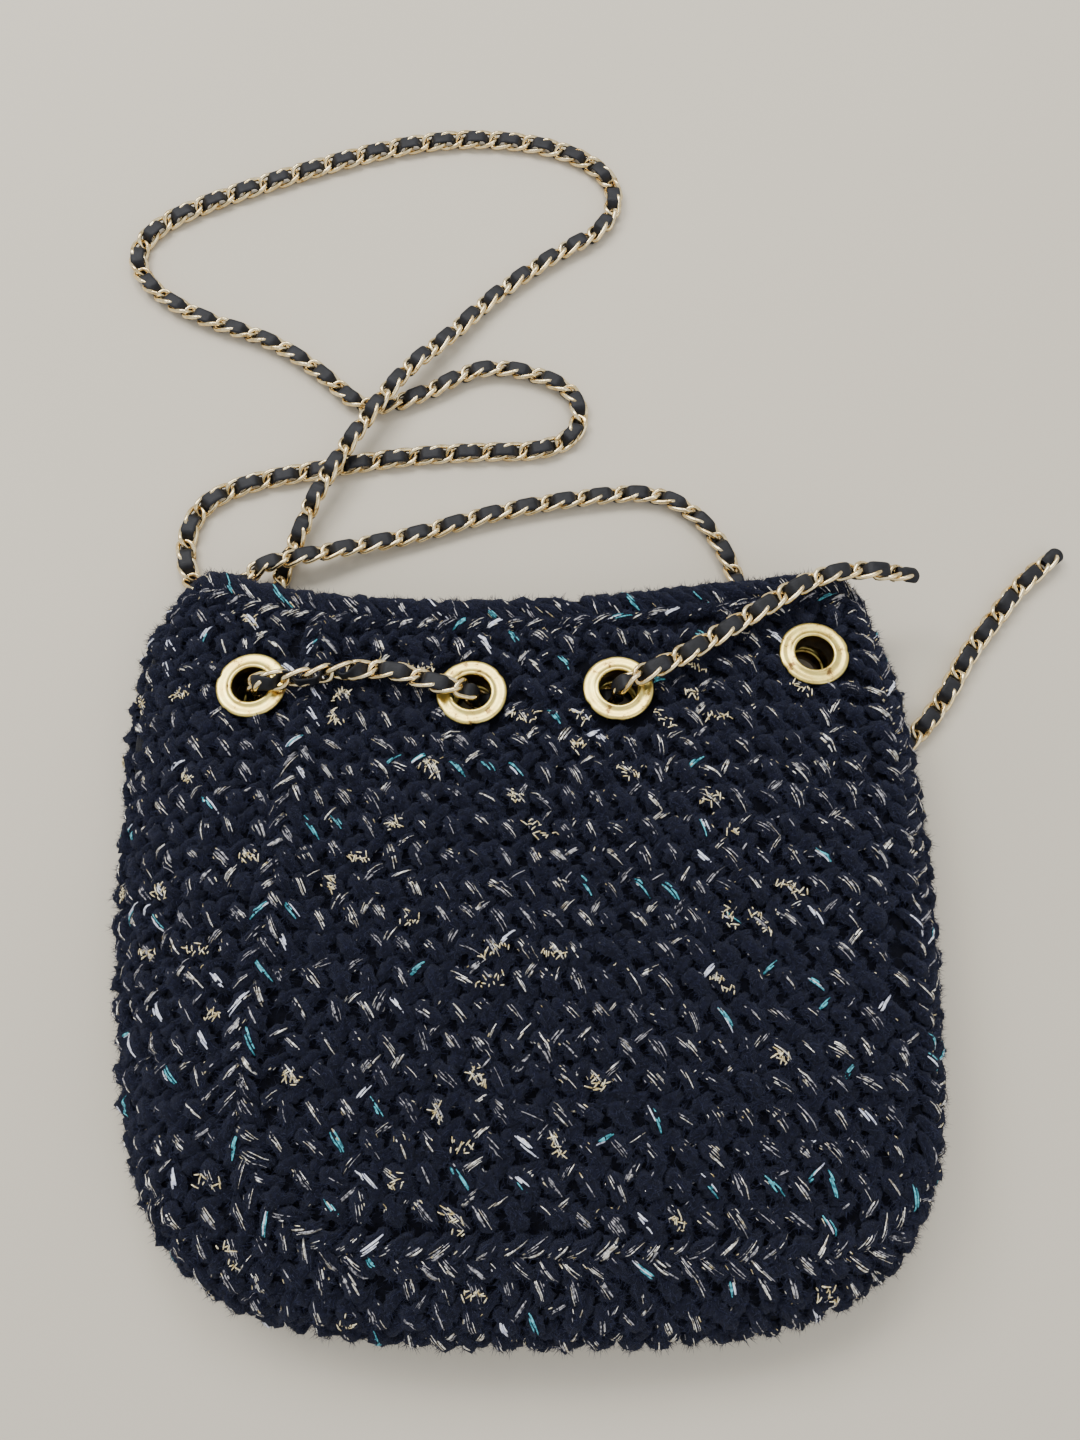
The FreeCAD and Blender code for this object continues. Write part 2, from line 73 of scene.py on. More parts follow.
def wave(x, y, seed):
    """Smooth repeatable noise from about -1 to 1, out of crossed sines; x and y in radians."""
    octaves, step_up, full_swing = 4, 0.83, 2.1
    draw = np.random.default_rng(seed)
    total = np.zeros(np.broadcast(x, y).shape)
    for octave in range(octaves):
        angle, shift = draw.uniform(0, 2 * math.pi, 2)
        rate = 1.0 + step_up * octave
        total += np.sin(rate * (x * math.cos(angle) + y * math.sin(angle)) + shift) / rate
    return total / full_swing


def mesh_piece(name, parts, materials):
    """One mesh object out of parts, each (points, faces, material number or one per face)."""
    corners, widths, marks = [], [], []
    point_count = 0
    for points, faces, mark in parts:
        corners.append((faces + point_count).ravel())
        widths.append(np.full(len(faces), faces.shape[1]))
        marks.append(np.full(len(faces), mark))
        point_count += len(points)
    corners, widths, marks = (np.concatenate(rows) for rows in (corners, widths, marks))
    mesh = bpy.data.meshes.new(name)
    mesh.vertices.add(point_count)
    mesh.vertices.foreach_set("co", np.concatenate([part[0] for part in parts]).ravel())
    mesh.loops.add(len(corners))
    mesh.loops.foreach_set("vertex_index", corners.astype(np.int32))
    mesh.polygons.add(len(marks))
    mesh.polygons.foreach_set("loop_start", (np.cumsum(widths) - widths).astype(np.int32))
    mesh.update(calc_edges=True)
    mesh.polygons.foreach_set("material_index", marks.astype(np.int32))
    mesh.polygons.foreach_set("use_smooth", np.ones(len(marks), bool))
    mesh.validate()
    for material in materials:
        mesh.materials.append(material)
    piece = bpy.data.objects.new(name, mesh)
    bpy.context.collection.objects.link(piece)
    return piece


def ring_faces(tubes_count, rings, sides, closed=False):
    """Outward quads over tubes of that many rings, each of that many points. A closed tube's
    last ring joins its first."""
    first = np.arange(tubes_count * rings * sides).reshape(tubes_count, rings, sides)
    ahead = np.roll(first, -1, axis=1)
    if not closed:
        first, ahead = first[:, :-1], ahead[:, :-1]
    faces = [first, ahead, np.roll(ahead, -1, axis=2), np.roll(first, -1, axis=2)]
    return np.stack(faces, axis=-1).reshape(-1, 4)


def circle(steps):
    """Angles evenly spread round a full turn."""
    return 2 * math.pi * np.arange(steps) / steps


def rounded(values, power):
    """Sines or cosines squared up, so that a circle becomes a rounded box."""
    return np.sign(values) * np.abs(values) ** power


def tubes(paths, normals, wide, high, sides, twist=0.0):
    """Tubes along many paths at once. paths and normals are (count, steps, 3), wide and high
    are the half width and half height at each step."""
    along = unit(np.gradient(paths, axis=1))
    across = unit(np.cross(along, normals))
    upward = np.cross(across, along)
    angle = circle(sides) + twist
    ring = (np.cos(angle)[:, None] * (across * wide[..., None])[:, :, None]
            + np.sin(angle)[:, None] * (upward * high[..., None])[:, :, None])
    points = (paths[:, :, None] + ring).reshape(-1, 3)
    return points, ring_faces(*paths.shape[:2], sides)


def closed_ring(path, half, sides):
    """A closed loop of round tube along one ring of points that lies about the Z axis."""
    along = unit(np.roll(path, -1, 0) - np.roll(path, 1, 0))
    across = unit(np.cross(along, UP))
    upward = np.cross(across, along)
    angle = circle(sides)[:, None]
    ring = half * (np.cos(angle) * across[:, None] + np.sin(angle) * upward[:, None])
    points = (path[:, None] + ring).reshape(-1, 3)
    return points, ring_faces(1, len(path), sides, closed=True)


def lathe(profile, steps):
    """A turned piece about the Z axis from a closed profile of (radius, height)."""
    angle = circle(steps)[:, None]
    radius, height = profile.T
    points = np.stack([np.cos(angle) * radius, np.sin(angle) * radius,
                       np.broadcast_to(height, (steps, len(profile)))], axis=-1)
    return points.reshape(-1, 3), ring_faces(1, steps, len(profile), True)[:, FLIPPED]


# ======== materials
class Surface:
    """A Principled material and the nodes that feed it."""

    def __init__(self, name, colour, roughness, metallic=0.0):
        self.material = bpy.data.materials.new(name)
        self.material.use_nodes = True
        self.nodes = self.material.node_tree.nodes
        self.link = self.material.node_tree.links.new
        self.shader = self.nodes["Principled BSDF"].inputs
        self.set(Base_Color=(*colour, 1), Roughness=roughness, Metallic=metallic)

    def set(self, **values):
        """Put plain values on the shader's own sockets."""
        for socket, value in values.items():
            self.shader[socket.replace("_", " ")].default_value = value

    def texture(self, kind, **inputs):
        """A procedural texture over the object's own coordinates."""
        place = self.nodes.new("ShaderNodeTexCoord")
        texture = self.nodes.new(kind)
        for socket, value in inputs.items():
            texture.inputs[socket].default_value = value
        self.link(place.outputs["Object"], texture.inputs["Vector"])
        return texture

    def noise(self, scale, detail, roughness=0.6):
        """Procedural noise to feed a colour or a bump."""
        noise = self.texture("ShaderNodeTexNoise", Scale=scale, Detail=detail,
                             Roughness=roughness)
        return noise.outputs["Fac"]

    def colour(self, source, stops):
        """The base colour from a ramp fed by source; stops are (position, colour)."""
        ramp = self.nodes.new("ShaderNodeValToRGB")
        elements = ramp.color_ramp.elements
        while len(elements) < len(stops):
            elements.new(0.5)
        for element, (position, colour) in zip(elements, stops):
            element.position = position
            element.color = (*colour, 1)
        self.link(source, ramp.inputs["Fac"])
        self.link(ramp.outputs["Color"], self.shader["Base Color"])

    def bump(self, height, strength, distance):
        """Fine relief from a height."""
        bump = self.nodes.new("ShaderNodeBump")
        bump.inputs["Strength"].default_value = strength
        bump.inputs["Distance"].default_value = distance
        self.link(height, bump.inputs["Height"])
        self.link(bump.outputs["Normal"], self.shader["Normal"])


def yarn_material(name, dark, light, sheen):
    """Brushed wool: mottled colour, soft sheen and a matted nap."""
    wool = Surface(name, light, roughness=0.95)
    wool.colour(wool.noise(900, 6.0, 0.75), [(0.38, dark), (0.62, light)])
    wool.bump(wool.noise(1500, 5.0, 0.8), strength=1.0, distance=0.9 * MM)
    wool.set(Sheen_Weight=sheen, Sheen_Roughness=0.45, Sheen_Tint=(0.42, 0.46, 0.66, 1),
             Specular_IOR_Level=0.15)
    return wool.material


def thread_material(name, dull, bright, roughness, metallic):
    """A shiny filament: streaks of brighter and duller colour along it."""
    thread = Surface(name, bright, roughness, metallic)
    streak = thread.noise(900, 2.0)
    thread.colour(streak, [(0.38, dull), (0.6, bright)])
    thread.bump(streak, strength=0.3, distance=0.1 * MM)
    return thread.material


def gold_material(name, deep, pale, worn, wear, rough=(0.2, 0.46)):
    """Pale gold plating, rubbed and spotted: wear is the share of brown showing."""
    gold = Surface(name, pale, roughness=0.28, metallic=1.0)
    gold.colour(gold.noise(260, 6.0, 0.7),
                [(0.0, worn), (wear, worn), (wear + 0.07, deep), (0.62, pale)])
    rub = gold.noise(1500, 4.0)
    shine = gold.nodes.new("ShaderNodeMapRange")
    shine.inputs["To Min"].default_value, shine.inputs["To Max"].default_value = rough
    gold.link(rub, shine.inputs["Value"])
    gold.link(shine.outputs["Result"], gold.shader["Roughness"])
    gold.bump(rub, strength=0.12, distance=0.1 * MM)
    return gold.material


def leather_material():
    """Black ribbon leather with a fine pebbled grain."""
    leather = Surface("chain_leather", (0.010, 0.010, 0.012), roughness=0.55)
    grain = leather.texture("ShaderNodeTexVoronoi", Scale=1900)
    leather.colour(leather.noise(300, 4.0),
                   [(0.35, (0.004, 0.004, 0.005)), (0.7, (0.014, 0.014, 0.018))])
    leather.bump(grain.outputs["Distance"], strength=0.35, distance=0.15 * MM)
    leather.set(Specular_IOR_Level=0.3)
    return leather.material


def lining_material():
    """Matt black plain weave."""
    lining = Surface("lining_weave", (0.008, 0.008, 0.010), roughness=0.85)
    woven = lining.nodes.new("ShaderNodeMath")
    woven.operation = "MAXIMUM"
    for socket, direction in zip(woven.inputs, "XY"):
        thread = lining.texture("ShaderNodeTexWave", Scale=480, Distortion=0.6)
        thread.bands_direction = direction
        lining.link(thread.outputs["Fac"], socket)
    lining.colour(woven.outputs[0],
                  [(0.2, (0.004, 0.004, 0.005)), (0.9, (0.014, 0.014, 0.017))])
    lining.bump(woven.outputs[0], strength=0.5, distance=0.2 * MM)
    lining.set(Sheen_Weight=0.2)
    return lining.material


def floor_material():
    """Plain pale studio floor, a little uneven in tone."""
    floor = Surface("floor", (0.62, 0.56, 0.44), roughness=0.9)
    floor.colour(floor.noise(3, 2.0, 0.5),
                 [(0.3, (0.61, 0.55, 0.44)), (0.7, (0.65, 0.585, 0.475))])
    return floor.material


YARN = yarn_material("navy_yarn", (0.0011, 0.0013, 0.0040), (0.0095, 0.0108, 0.0275), 0.14)
# The same navy yarn darkened: painted shadow for the ground between the loops and for the rim's
# hidden core.
YARN_SHADOW = yarn_material("navy_shadow", (0.0006, 0.0007, 0.0018), (0.0035, 0.004, 0.011), 0.04)
# The fuzz is the same navy wool as the yarn, coloured lighter: painted sheen on the fibres.
FUZZ = yarn_material("navy_fuzz_painted_sheen", (0.0050, 0.0060, 0.0165), (0.0250, 0.0290, 0.0700), 0.25)
CREAM = thread_material("cream_thread", (0.36, 0.31, 0.23), (1.0, 0.97, 0.88), 0.20, 0.55)
GREY = thread_material("grey_thread", (0.03, 0.03, 0.04), (0.50, 0.48, 0.50), 0.35, 0.3)
TEAL = thread_material("teal_thread", (0.01, 0.12, 0.16), (0.10, 0.58, 0.68), 0.35, 0.0)
WHITE = thread_material("white_thread", (0.55, 0.57, 0.74), (0.95, 0.96, 1.0), 0.30, 0.0)
LUREX = thread_material("gold_lurex", (0.55, 0.42, 0.18), (1.0, 0.90, 0.62), 0.26, 0.4)
CHAIN_GOLD = gold_material("chain_gold", (0.72, 0.53, 0.25), (1.0, 0.84, 0.52),
                           (0.26, 0.15, 0.05), 0.33, (0.10, 0.30))
EYELET_GOLD = gold_material("eyelet_gold", (0.88, 0.64, 0.17), (1.0, 0.82, 0.24),
                            (0.24, 0.14, 0.05), 0.36)
# Dark brown gold for the bores' inner walls: painted shade inside the eyelets' holes.
EYELET_BORE_SHADE = gold_material("eyelet_bore_shade", (0.11, 0.075, 0.035), (0.19, 0.13, 0.06),
                            (0.05, 0.03, 0.02), 0.36)
LEATHER = leather_material()
LINING = lining_material()
YARNS = [YARN, YARN_SHADOW, CREAM, GREY, TEAL, WHITE, LUREX, FUZZ]
IN_YARN, IN_SHADOW, IN_CREAM, IN_GREY, IN_TEAL, IN_WHITE, IN_LUREX, IN_FUZZ = range(8)


# ======== camera, light and floor
CAMERA_PLACE = (3.7 * MM, -30 * MM, 352 * MM)
CAMERA_TILT = math.radians(16)
LENS_MM = 27.05
SENSOR_MM = 36
SKY_COLOUR = (0.93, 0.96, 1.0)
SKY_STRENGTH = 0.93
LIGHTS = (   # name, place, size and power; each aims at the origin
    ("key", (-0.7, 0.75, 1.2), 0.6, 13),
    ("fill", (1.0, -0.7, 1.1), 1.0, 4),
    ("glint", (0.05, 0.95, 1.25), 0.5, 9))
FLOOR_REACH = 3.0


def set_stage():
    """The camera, the studio's light and the floor."""
    camera = bpy.data.objects.new("camera", bpy.data.cameras.new("camera"))
    camera.location = CAMERA_PLACE
    camera.rotation_euler = (CAMERA_TILT, 0, 0)
    camera.data.lens = LENS_MM
    camera.data.sensor_width = SENSOR_MM
    camera.data.clip_start = 10 * MM
    bpy.context.collection.objects.link(camera)
    bpy.context.scene.camera = camera

    world = bpy.data.worlds.new("studio")
    world.use_nodes = True
    world.node_tree.nodes["Background"].inputs["Color"].default_value = (*SKY_COLOUR, 1)
    world.node_tree.nodes["Background"].inputs["Strength"].default_value = SKY_STRENGTH
    bpy.context.scene.world = world
    for name, place, size, power in LIGHTS:
        light = bpy.data.objects.new(name, bpy.data.lights.new(name, "AREA"))
        light.data.size = size
        light.data.energy = power
        light.location = place
        aim = -np.array(place)
        light.rotation_euler = (math.acos(-aim[2] / np.linalg.norm(aim)), 0,
                                math.atan2(aim[1], aim[0]) - math.pi / 2)
        bpy.context.collection.objects.link(light)

    corners = FLOOR_REACH * np.array([(-1.0, -1, 0), (1, -1, 0), (1, 1, 0), (-1, 1, 0)])
    mesh_piece("floor", [(corners, np.array([[0, 1, 2, 3]]), 0)], [floor_material()])


# ======== the chain's routes
# Where the strap leaves the bag's back through the first back eyelet, crosses itself on the
# table and comes out again past the bag's right edge.
STRAP_ROUTE = [
    (-0.086, 0.073, 0.0195), (-0.086, 0.073, 0.0045), (-0.087, 0.0895, 0.0028),
    (-0.0895, 0.106, 0.0028), (-0.0865, 0.123, 0.0028), (-0.081, 0.137, 0.0045),
    (-0.075, 0.152, 0.0086), (-0.061, 0.178, 0.0086), (-0.045, 0.202, 0.0086),
    (-0.031, 0.217, 0.0045), (-0.013, 0.238, 0.0028), (0.010, 0.256, 0.0028),
    (0.029, 0.267, 0.0028), (0.034, 0.285, 0.0028), (0.024, 0.299, 0.0028),
    (0.002, 0.308, 0.0028), (-0.028, 0.3105, 0.0028), (-0.058, 0.305, 0.0028),
    (-0.090, 0.294, 0.0028), (-0.120, 0.282, 0.0028), (-0.143, 0.270, 0.0028),
    (-0.152, 0.255, 0.0028), (-0.144, 0.240, 0.0028), (-0.124, 0.227, 0.0028),
    (-0.097, 0.218, 0.0028), (-0.077, 0.204, 0.0028), (-0.060, 0.187, 0.0028),
    (-0.038, 0.195, 0.0028), (-0.018, 0.207, 0.0028), (0.004, 0.203, 0.0028),
    (0.018, 0.194, 0.0028), (0.018, 0.178, 0.0028), (0.004, 0.171, 0.0028),
    (-0.018, 0.171, 0.0028), (-0.046, 0.169, 0.0028), (-0.080, 0.163, 0.0028),
    (-0.103, 0.158, 0.0028), (-0.118, 0.149, 0.0028), (-0.122, 0.132, 0.0028),
    (-0.116, 0.116, 0.0028), (-0.101, 0.1165, 0.0045), (-0.0925, 0.1245, 0.0086),
    (-0.077, 0.1275, 0.0086), (-0.060, 0.133, 0.0045), (-0.040, 0.138, 0.0028),
    (-0.012, 0.147, 0.0028), (0.020, 0.153, 0.0028), (0.046, 0.155, 0.0028),
    (0.062, 0.144, 0.0028), (0.071, 0.127, 0.0028), (0.0745, 0.106, 0.0028),
    (0.0705, 0.084, 0.0028), (0.073, 0.068, 0.0028), (0.086, 0.058, 0.0028),
    (0.103, 0.0555, 0.0028), (0.119, 0.057, 0.0028), (0.130, 0.065, 0.0028),
    (0.141, 0.0785, 0.0028), (0.150, 0.094, 0.0028), (0.1615, 0.1075, 0.0028),
    (0.1705, 0.119, 0.0028), (0.180, 0.1265, 0.0028),
]
# Out of the third front eyelet, over its flange and across the front to the right edge.
TAIL_ROUTE = [
    (0.0098, 0.0714, 0.0193), (0.028, 0.072, 0.0193), (0.028, 0.072, 0.0366),
    (0.044, 0.079, 0.0370), (0.059, 0.0885, 0.0345), (0.075, 0.099, 0.0335),
    (0.0905, 0.1085, 0.033), (0.106, 0.1125, 0.032), (0.119, 0.112, 0.029),
]
# Up through the first front eyelet, across the front, down the second and on to the tail.
HELD_ROUTE = [
    (-0.086, 0.073, 0.024), (-0.086, 0.073, 0.0362), (-0.072, 0.0735, 0.0362),
    (-0.057, 0.077, 0.0352), (-0.041, 0.077, 0.0352), (-0.029, 0.0725, 0.0358),
    (-0.0175, 0.0705, 0.0358), (-0.0175, 0.0705, 0.0193), (0.0098, 0.0714, 0.0193),
]
CROSSING_ROUTE = [(-0.086, 0.073, 0.0195), (-0.086, 0.073, 0.0237)]

CHAIN_WIDE = 7.0 * MM
LINK_PITCH = 6.6 * MM
WIRE = 1.62 * MM
LINK_LONG = 8.9 * MM          # along the middle of the wire
LINK_WIDE = CHAIN_WIDE - WIRE
LINK_SQUARE = 0.82            # under 1 makes the oval's ends fuller
LINK_TWIST = -1.15 * MM       # how far the wire rises and dips
LINK_LEAN = math.radians(-20)
LINK_SKEW = -0.30             # how far one long side is ahead of the other
LINK_TIPPING = 0.05           # how unevenly the links lie, in radians
LINK_STEPS, LINK_SIDES = 22, 7
RIBBON_RISE = 1.85 * MM       # how far the ribbon weaves over and under the links
RIBBON_THICK = 0.85 * MM
RIBBON_HALF = (1.9, 0.62)     # mm: half width inside a link, and what it gains outside
RIBBON_OVER = 0.36            # how much more of the ribbon lies over the links than under
RIBBON_SNAP = 2.6             # how suddenly it goes from one to the other
RIBBON_SQUARE = (0.45, 0.7)   # how boxy its section is, across and through
RIBBON_STEP, RIBBON_SIDES = 0.7 * MM, 10
TIP_STEPS, TIP_SIDES = 25, 16
TIP_ROUNDING = 0.55           # the share of half its length that is rounded off
TIP_THICK = 0.8               # of the CAD node's thickness
TIP_PINCH, PINCH_AT, PINCH_LONG = 0.18, -0.55, 0.25     # where the link holds it
TIP_LINK, TIP_LINK_BACK = 0.88, 2.6 * MM                # that link's scale and place


def arc_length(line):
    """How far along a line each of its points is."""
    return np.concatenate([[0], np.cumsum(np.linalg.norm(np.diff(line, axis=0), axis=1))])


def ease(x, low, high):
    """A smooth step from 0 at low to 1 at high."""
    t = np.clip((x - low) / (high - low), 0, 1)
    return t * t * (3 - 2 * t)


def route_line(points):
    """The smooth line of a route: its NURBS spline, read back as points."""
    curve = bpy.data.curves.new("route", "CURVE")
    curve.dimensions = "3D"
    spline = curve.splines.new("NURBS")
    spline.points.add(len(points) - 1)
    for place, point in zip(points, spline.points):
        point.co = (*place, 1)
    spline.order_u = min(3, len(points))
    spline.use_endpoint_u = True
    spline.resolution_u = 16
    bare = bpy.data.objects.new("route", curve)
    mesh = bpy.data.meshes.new_from_object(bare)
    line = np.array([vertex.co for vertex in mesh.vertices])
    bpy.data.objects.remove(bare)
    bpy.data.meshes.remove(mesh)
    bpy.data.curves.remove(curve)
    return line


class Track:
    """A route by arc length, with a flat-lying frame carried along it."""

    STEP = 0.5 * MM
    LEVELLING = 0.12       # how fast the frame settles flat, each step
    ROLL_FADE = 8 * MM

    def __init__(self, line, first_up, rolls=()):
        gaps = np.linalg.norm(np.diff(line, axis=0), axis=1)
        line = line[np.concatenate([[True], gaps > 1e-7])]
        reached = arc_length(line)
        self.length = reached[-1]
        self.links = max(1, round((self.length - LINK_LONG * 0.6) / LINK_PITCH))
        self.at = np.linspace(0, self.length, max(8, int(self.length / self.STEP)))
        self.point = self._spread(reached, line, self.at)
        self.along = unit(np.gradient(self.point, axis=0))
        self.up = np.zeros_like(self.point)
        normal = np.array(first_up, float)
        for step, along in enumerate(self.along):
            flat = UP - along * along[2]
            level = np.linalg.norm(flat)
            normal = normal + flat * self.LEVELLING * level
            normal = normal - along * normal.dot(along)
            normal = normal / np.linalg.norm(normal)
            self.up[step] = normal
        for start, end, angle in rolls:
            turn = math.radians(angle) * ease(np.minimum(self.at - start, end - self.at),
                                              0, self.ROLL_FADE)
            side = np.cross(self.along, self.up)
            self.up = self.up * np.cos(turn)[:, None] + side * np.sin(turn)[:, None]

    @staticmethod
    def _spread(reached, values, at):
        return np.stack([np.interp(at, reached, values[:, k]) for k in range(3)], axis=1)

    def frame(self, at):
        """Place, along, across and up at arc lengths."""
        point = self._spread(self.at, self.point, at)
        along = unit(self._spread(self.at, self.along, at))
        up = self._spread(self.at, self.up, at)
        up = unit(up - along * (up * along).sum(1, keepdims=True))
        return point, along, np.cross(up, along), up


def one_link(steps, sides):
    """An oval curb link along local X, twisted and leaning over about its own length."""
    t = circle(steps)
    x = LINK_LONG / 2 * rounded(np.cos(t), LINK_SQUARE)
    y = LINK_WIDE / 2 * rounded(np.sin(t), LINK_SQUARE)
    z = LINK_TWIST * np.sin(2 * t)
    cos, sin = math.cos(LINK_LEAN), math.sin(LINK_LEAN)
    ring = np.stack([x - LINK_SKEW * y, y * cos - z * sin, y * sin + z * cos], axis=1)
    return closed_ring(ring, WIRE / 2, sides)


def chain_links(track, seed):
    """Oval curb links, one each pitch, each rigid and twisted so that it clears the next."""
    draw = np.random.default_rng(seed)
    count = track.links
    at = np.linspace(0.5, 0.5 + count - 1, count) / count * track.length
    point, along, across, up = track.frame(at)
    reach = LINK_LONG * 0.35
    along = unit(track.frame(np.clip(at + reach, 0, track.length))[0]
                 - track.frame(np.clip(at - reach, 0, track.length))[0])
    up = unit(up + across * draw.normal(0, LINK_TIPPING, (count, 1)))
    up = unit(up - along * (up * along).sum(1, keepdims=True))
    across = np.cross(up, along)
    points, faces = one_link(LINK_STEPS, LINK_SIDES)
    placed = (point[:, None] + points[None, :, :1] * along[:, None]
              + points[None, :, 1:2] * across[:, None] + points[None, :, 2:] * up[:, None])
    shifts = np.arange(count) * len(points)
    return placed.reshape(-1, 3), (faces[None] + shifts[:, None, None]).reshape(-1, 4)


def chain_ribbon(track):
    """The leather ribbon: over one joint of the links and under the next."""
    at = np.linspace(0, track.length, max(6, int(track.length / RIBBON_STEP)))
    point, _, across, up = track.frame(at)
    joint = np.cos(math.pi * at * track.links / track.length)
    weave = np.tanh(RIBBON_SNAP * (joint + RIBBON_OVER))
    middle = point + up * (weave * RIBBON_RISE)[:, None]
    wide = (RIBBON_HALF[0] + RIBBON_HALF[1] * np.abs(weave)) * MM
    turn = circle(RIBBON_SIDES)[:, None]
    normal = unit(np.cross(unit(np.gradient(middle, axis=0)), across))
    normal = normal * np.sign((normal * up).sum(1, keepdims=True))
    ring = (rounded(np.cos(turn), RIBBON_SQUARE[0]) * (across * wide[:, None])[:, None]
            + rounded(np.sin(turn), RIBBON_SQUARE[1]) * normal[:, None] * RIBBON_THICK / 2)
    rings = middle[:, None] + ring
    cap = np.arange(RIBBON_SIDES)[None]
    faces = ring_faces(1, len(at), RIBBON_SIDES)[:, FLIPPED]
    return [(rings.reshape(-1, 3), faces, 1), (rings[0], cap[:, ::-1], 1), (rings[-1], cap, 1)]


def chain_piece(name, route, first_up, seed, rolls=()):
    """A chain with its ribbon, as one mesh, and the line that it follows."""
    line = route_line(route)
    track = Track(line, first_up, rolls)
    points, faces = chain_links(track, seed)
    parts = [(points, faces, 0)] + chain_ribbon(track)
    return mesh_piece(name, parts, [CHAIN_GOLD, LEATHER]), line


def node_axes(name):
    """A CAD node's middle, its points, its own axes and half sizes, longest spread first."""
    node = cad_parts[name]
    points = np.array([node.matrix_world @ vertex.co for vertex in node.data.vertices])
    middle = points.mean(axis=0)
    _, _, axes = np.linalg.svd(points - middle, full_matrices=False)
    reach = (points - middle) @ axes.T
    middle = middle + (reach.max(0) + reach.min(0)) / 2 @ axes
    return middle, points, axes, (reach.max(0) - reach.min(0)) / 2


def chain_tip(name, chain_end):
    """The chain's end: the ribbon folded into a rounded tab, held by the last link."""
    middle, _, axes, half = node_axes(name)
    along = axes[0] * np.sign(np.dot(middle - chain_end, axes[0]))
    up = axes[2] * np.sign(axes[2][2])
    at = np.linspace(-1, 1, TIP_STEPS)
    past = np.clip((at - 1 + TIP_ROUNDING) / TIP_ROUNDING, 0, 1)
    round_end = np.sqrt(np.clip(1 - past ** 2, 0.002, 1))
    pinch = 1 - TIP_PINCH * np.exp(-((at - PINCH_AT) / PINCH_LONG) ** 2)
    path = middle + at[:, None] * half[0] * along
    wide = half[1] * round_end * pinch
    high = half[2] * TIP_THICK * (0.35 + 0.65 * round_end) * pinch
    points, faces = tubes(path[None], np.broadcast_to(up, (1, TIP_STEPS, 3)), wide[None],
                          high[None], TIP_SIDES)
    link, link_faces = one_link(28, 9)
    turn = np.column_stack([along, np.cross(up, along), up])
    link = middle - along * TIP_LINK_BACK + link * TIP_LINK @ turn.T
    parts = [(points, faces, 1), (points[:TIP_SIDES], np.arange(TIP_SIDES)[None], 1),
             (link, link_faces, 0)]
    return mesh_piece(name + "_end", parts, [CHAIN_GOLD, LEATHER])


def make_chains():
    """The four runs of the chain and the leather ends of its ribbon."""
    strap, strap_line = chain_piece("strap_links", STRAP_ROUTE, (0, 1, 0), 11)
    tail, tail_line = chain_piece("tail_links", TAIL_ROUTE, (0, 0, 1), 12)
    held, _ = chain_piece("held_links", HELD_ROUTE, (0, 1, 0), 13, [(-6 * MM, 46 * MM, 90)])
    crossing, _ = chain_piece("crossing_links", CROSSING_ROUTE, (0, 1, 0), 14)
    for piece, node, body in ((strap, "strap_chain", "bag_base"),
                              (tail, "tail_chain", "bag_front"),
                              (held, "held_chain", "bag_front")):
        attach(piece, body)
        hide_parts(node)
    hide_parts("crossing_chain")
    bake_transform(crossing)
    for tip, body, line in (("strap_tip", "bag_base", strap_line),
                            ("tail_tip", "bag_front", tail_line)):
        piece = chain_tip(tip, line[-1])
        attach(piece, body)
        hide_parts(tip)


# ======== the bag's form
# The edge of the flattened bag from above, from the mouth's left end round the base to its
# right end; it runs on past the mouth, which isn't rolled over.
OUTLINE = MM * np.array([
    (-103, 200), (-104, 150), (-108, 123), (-119, 105), (-127, 90), (-130, 60), (-129, 10),
    (-125.5, -25), (-119, -57), (-108, -82), (-91, -100), (-66, -110), (-30, -115),
    (12, -116), (50, -114), (78, -109), (97, -100), (110, -87), (119, -66), (124, -36),
    (127, 10), (125, 45), (119.5, 78), (112, 102), (107, 125), (104, 150), (103, 200)])
# How far the mouth's edge lies up the bag, from left to right.
MOUTH_LINE = MM * np.array([
    (-140, 98), (-122, 104), (-109, 115.5), (-96, 113), (-80, 108.5), (-58, 105.5), (-26, 104),
    (14, 105), (43, 108), (72, 111.5), (98, 114), (112, 109), (135, 104)])
FRONT_SEAM = MM * np.array([
    (-65, 122), (-67.5, 70), (-73, 15), (-79.5, -38), (-76, -65), (-63, -82), (-42, -88.5),
    (20, -89), (82, -88.5), (101, -81), (112, -66), (115.5, -48), (113, 30), (108.5, 122)])
BACK_SEAM = MM * np.array([
    (-121, 122), (-121, 20), (-120, -54), (-113, -78), (-97, -95), (-72, -102), (-20, -102.5),
    (32, -102), (52, -94), (62, -80), (64, -60), (64, 20), (64, 122)])

TOP_SIDE, BACK_SIDE = 1, -1
EDGE_ROLL = 13 * MM                    # the plan width of the rounded edge
EDGE_LAP = EDGE_ROLL * math.pi / 2     # and its length over the round
BASE_Y = -104 * MM
KNEE_Y = 40 * MM
LIFT_Y = (25 * MM, 58 * MM)            # between these the back lifts off the floor
LIFT = node_box("rim_back")[0][2]
EYELET_NUMBERS = (1, 2, 3, 4)


def eyelet_middles(side):
    """The middles of one side's four eyelets."""
    boxes = [node_box("eyelet_%s_%d" % (side, number)) for number in EYELET_NUMBERS]
    return np.array(boxes).mean(axis=1)


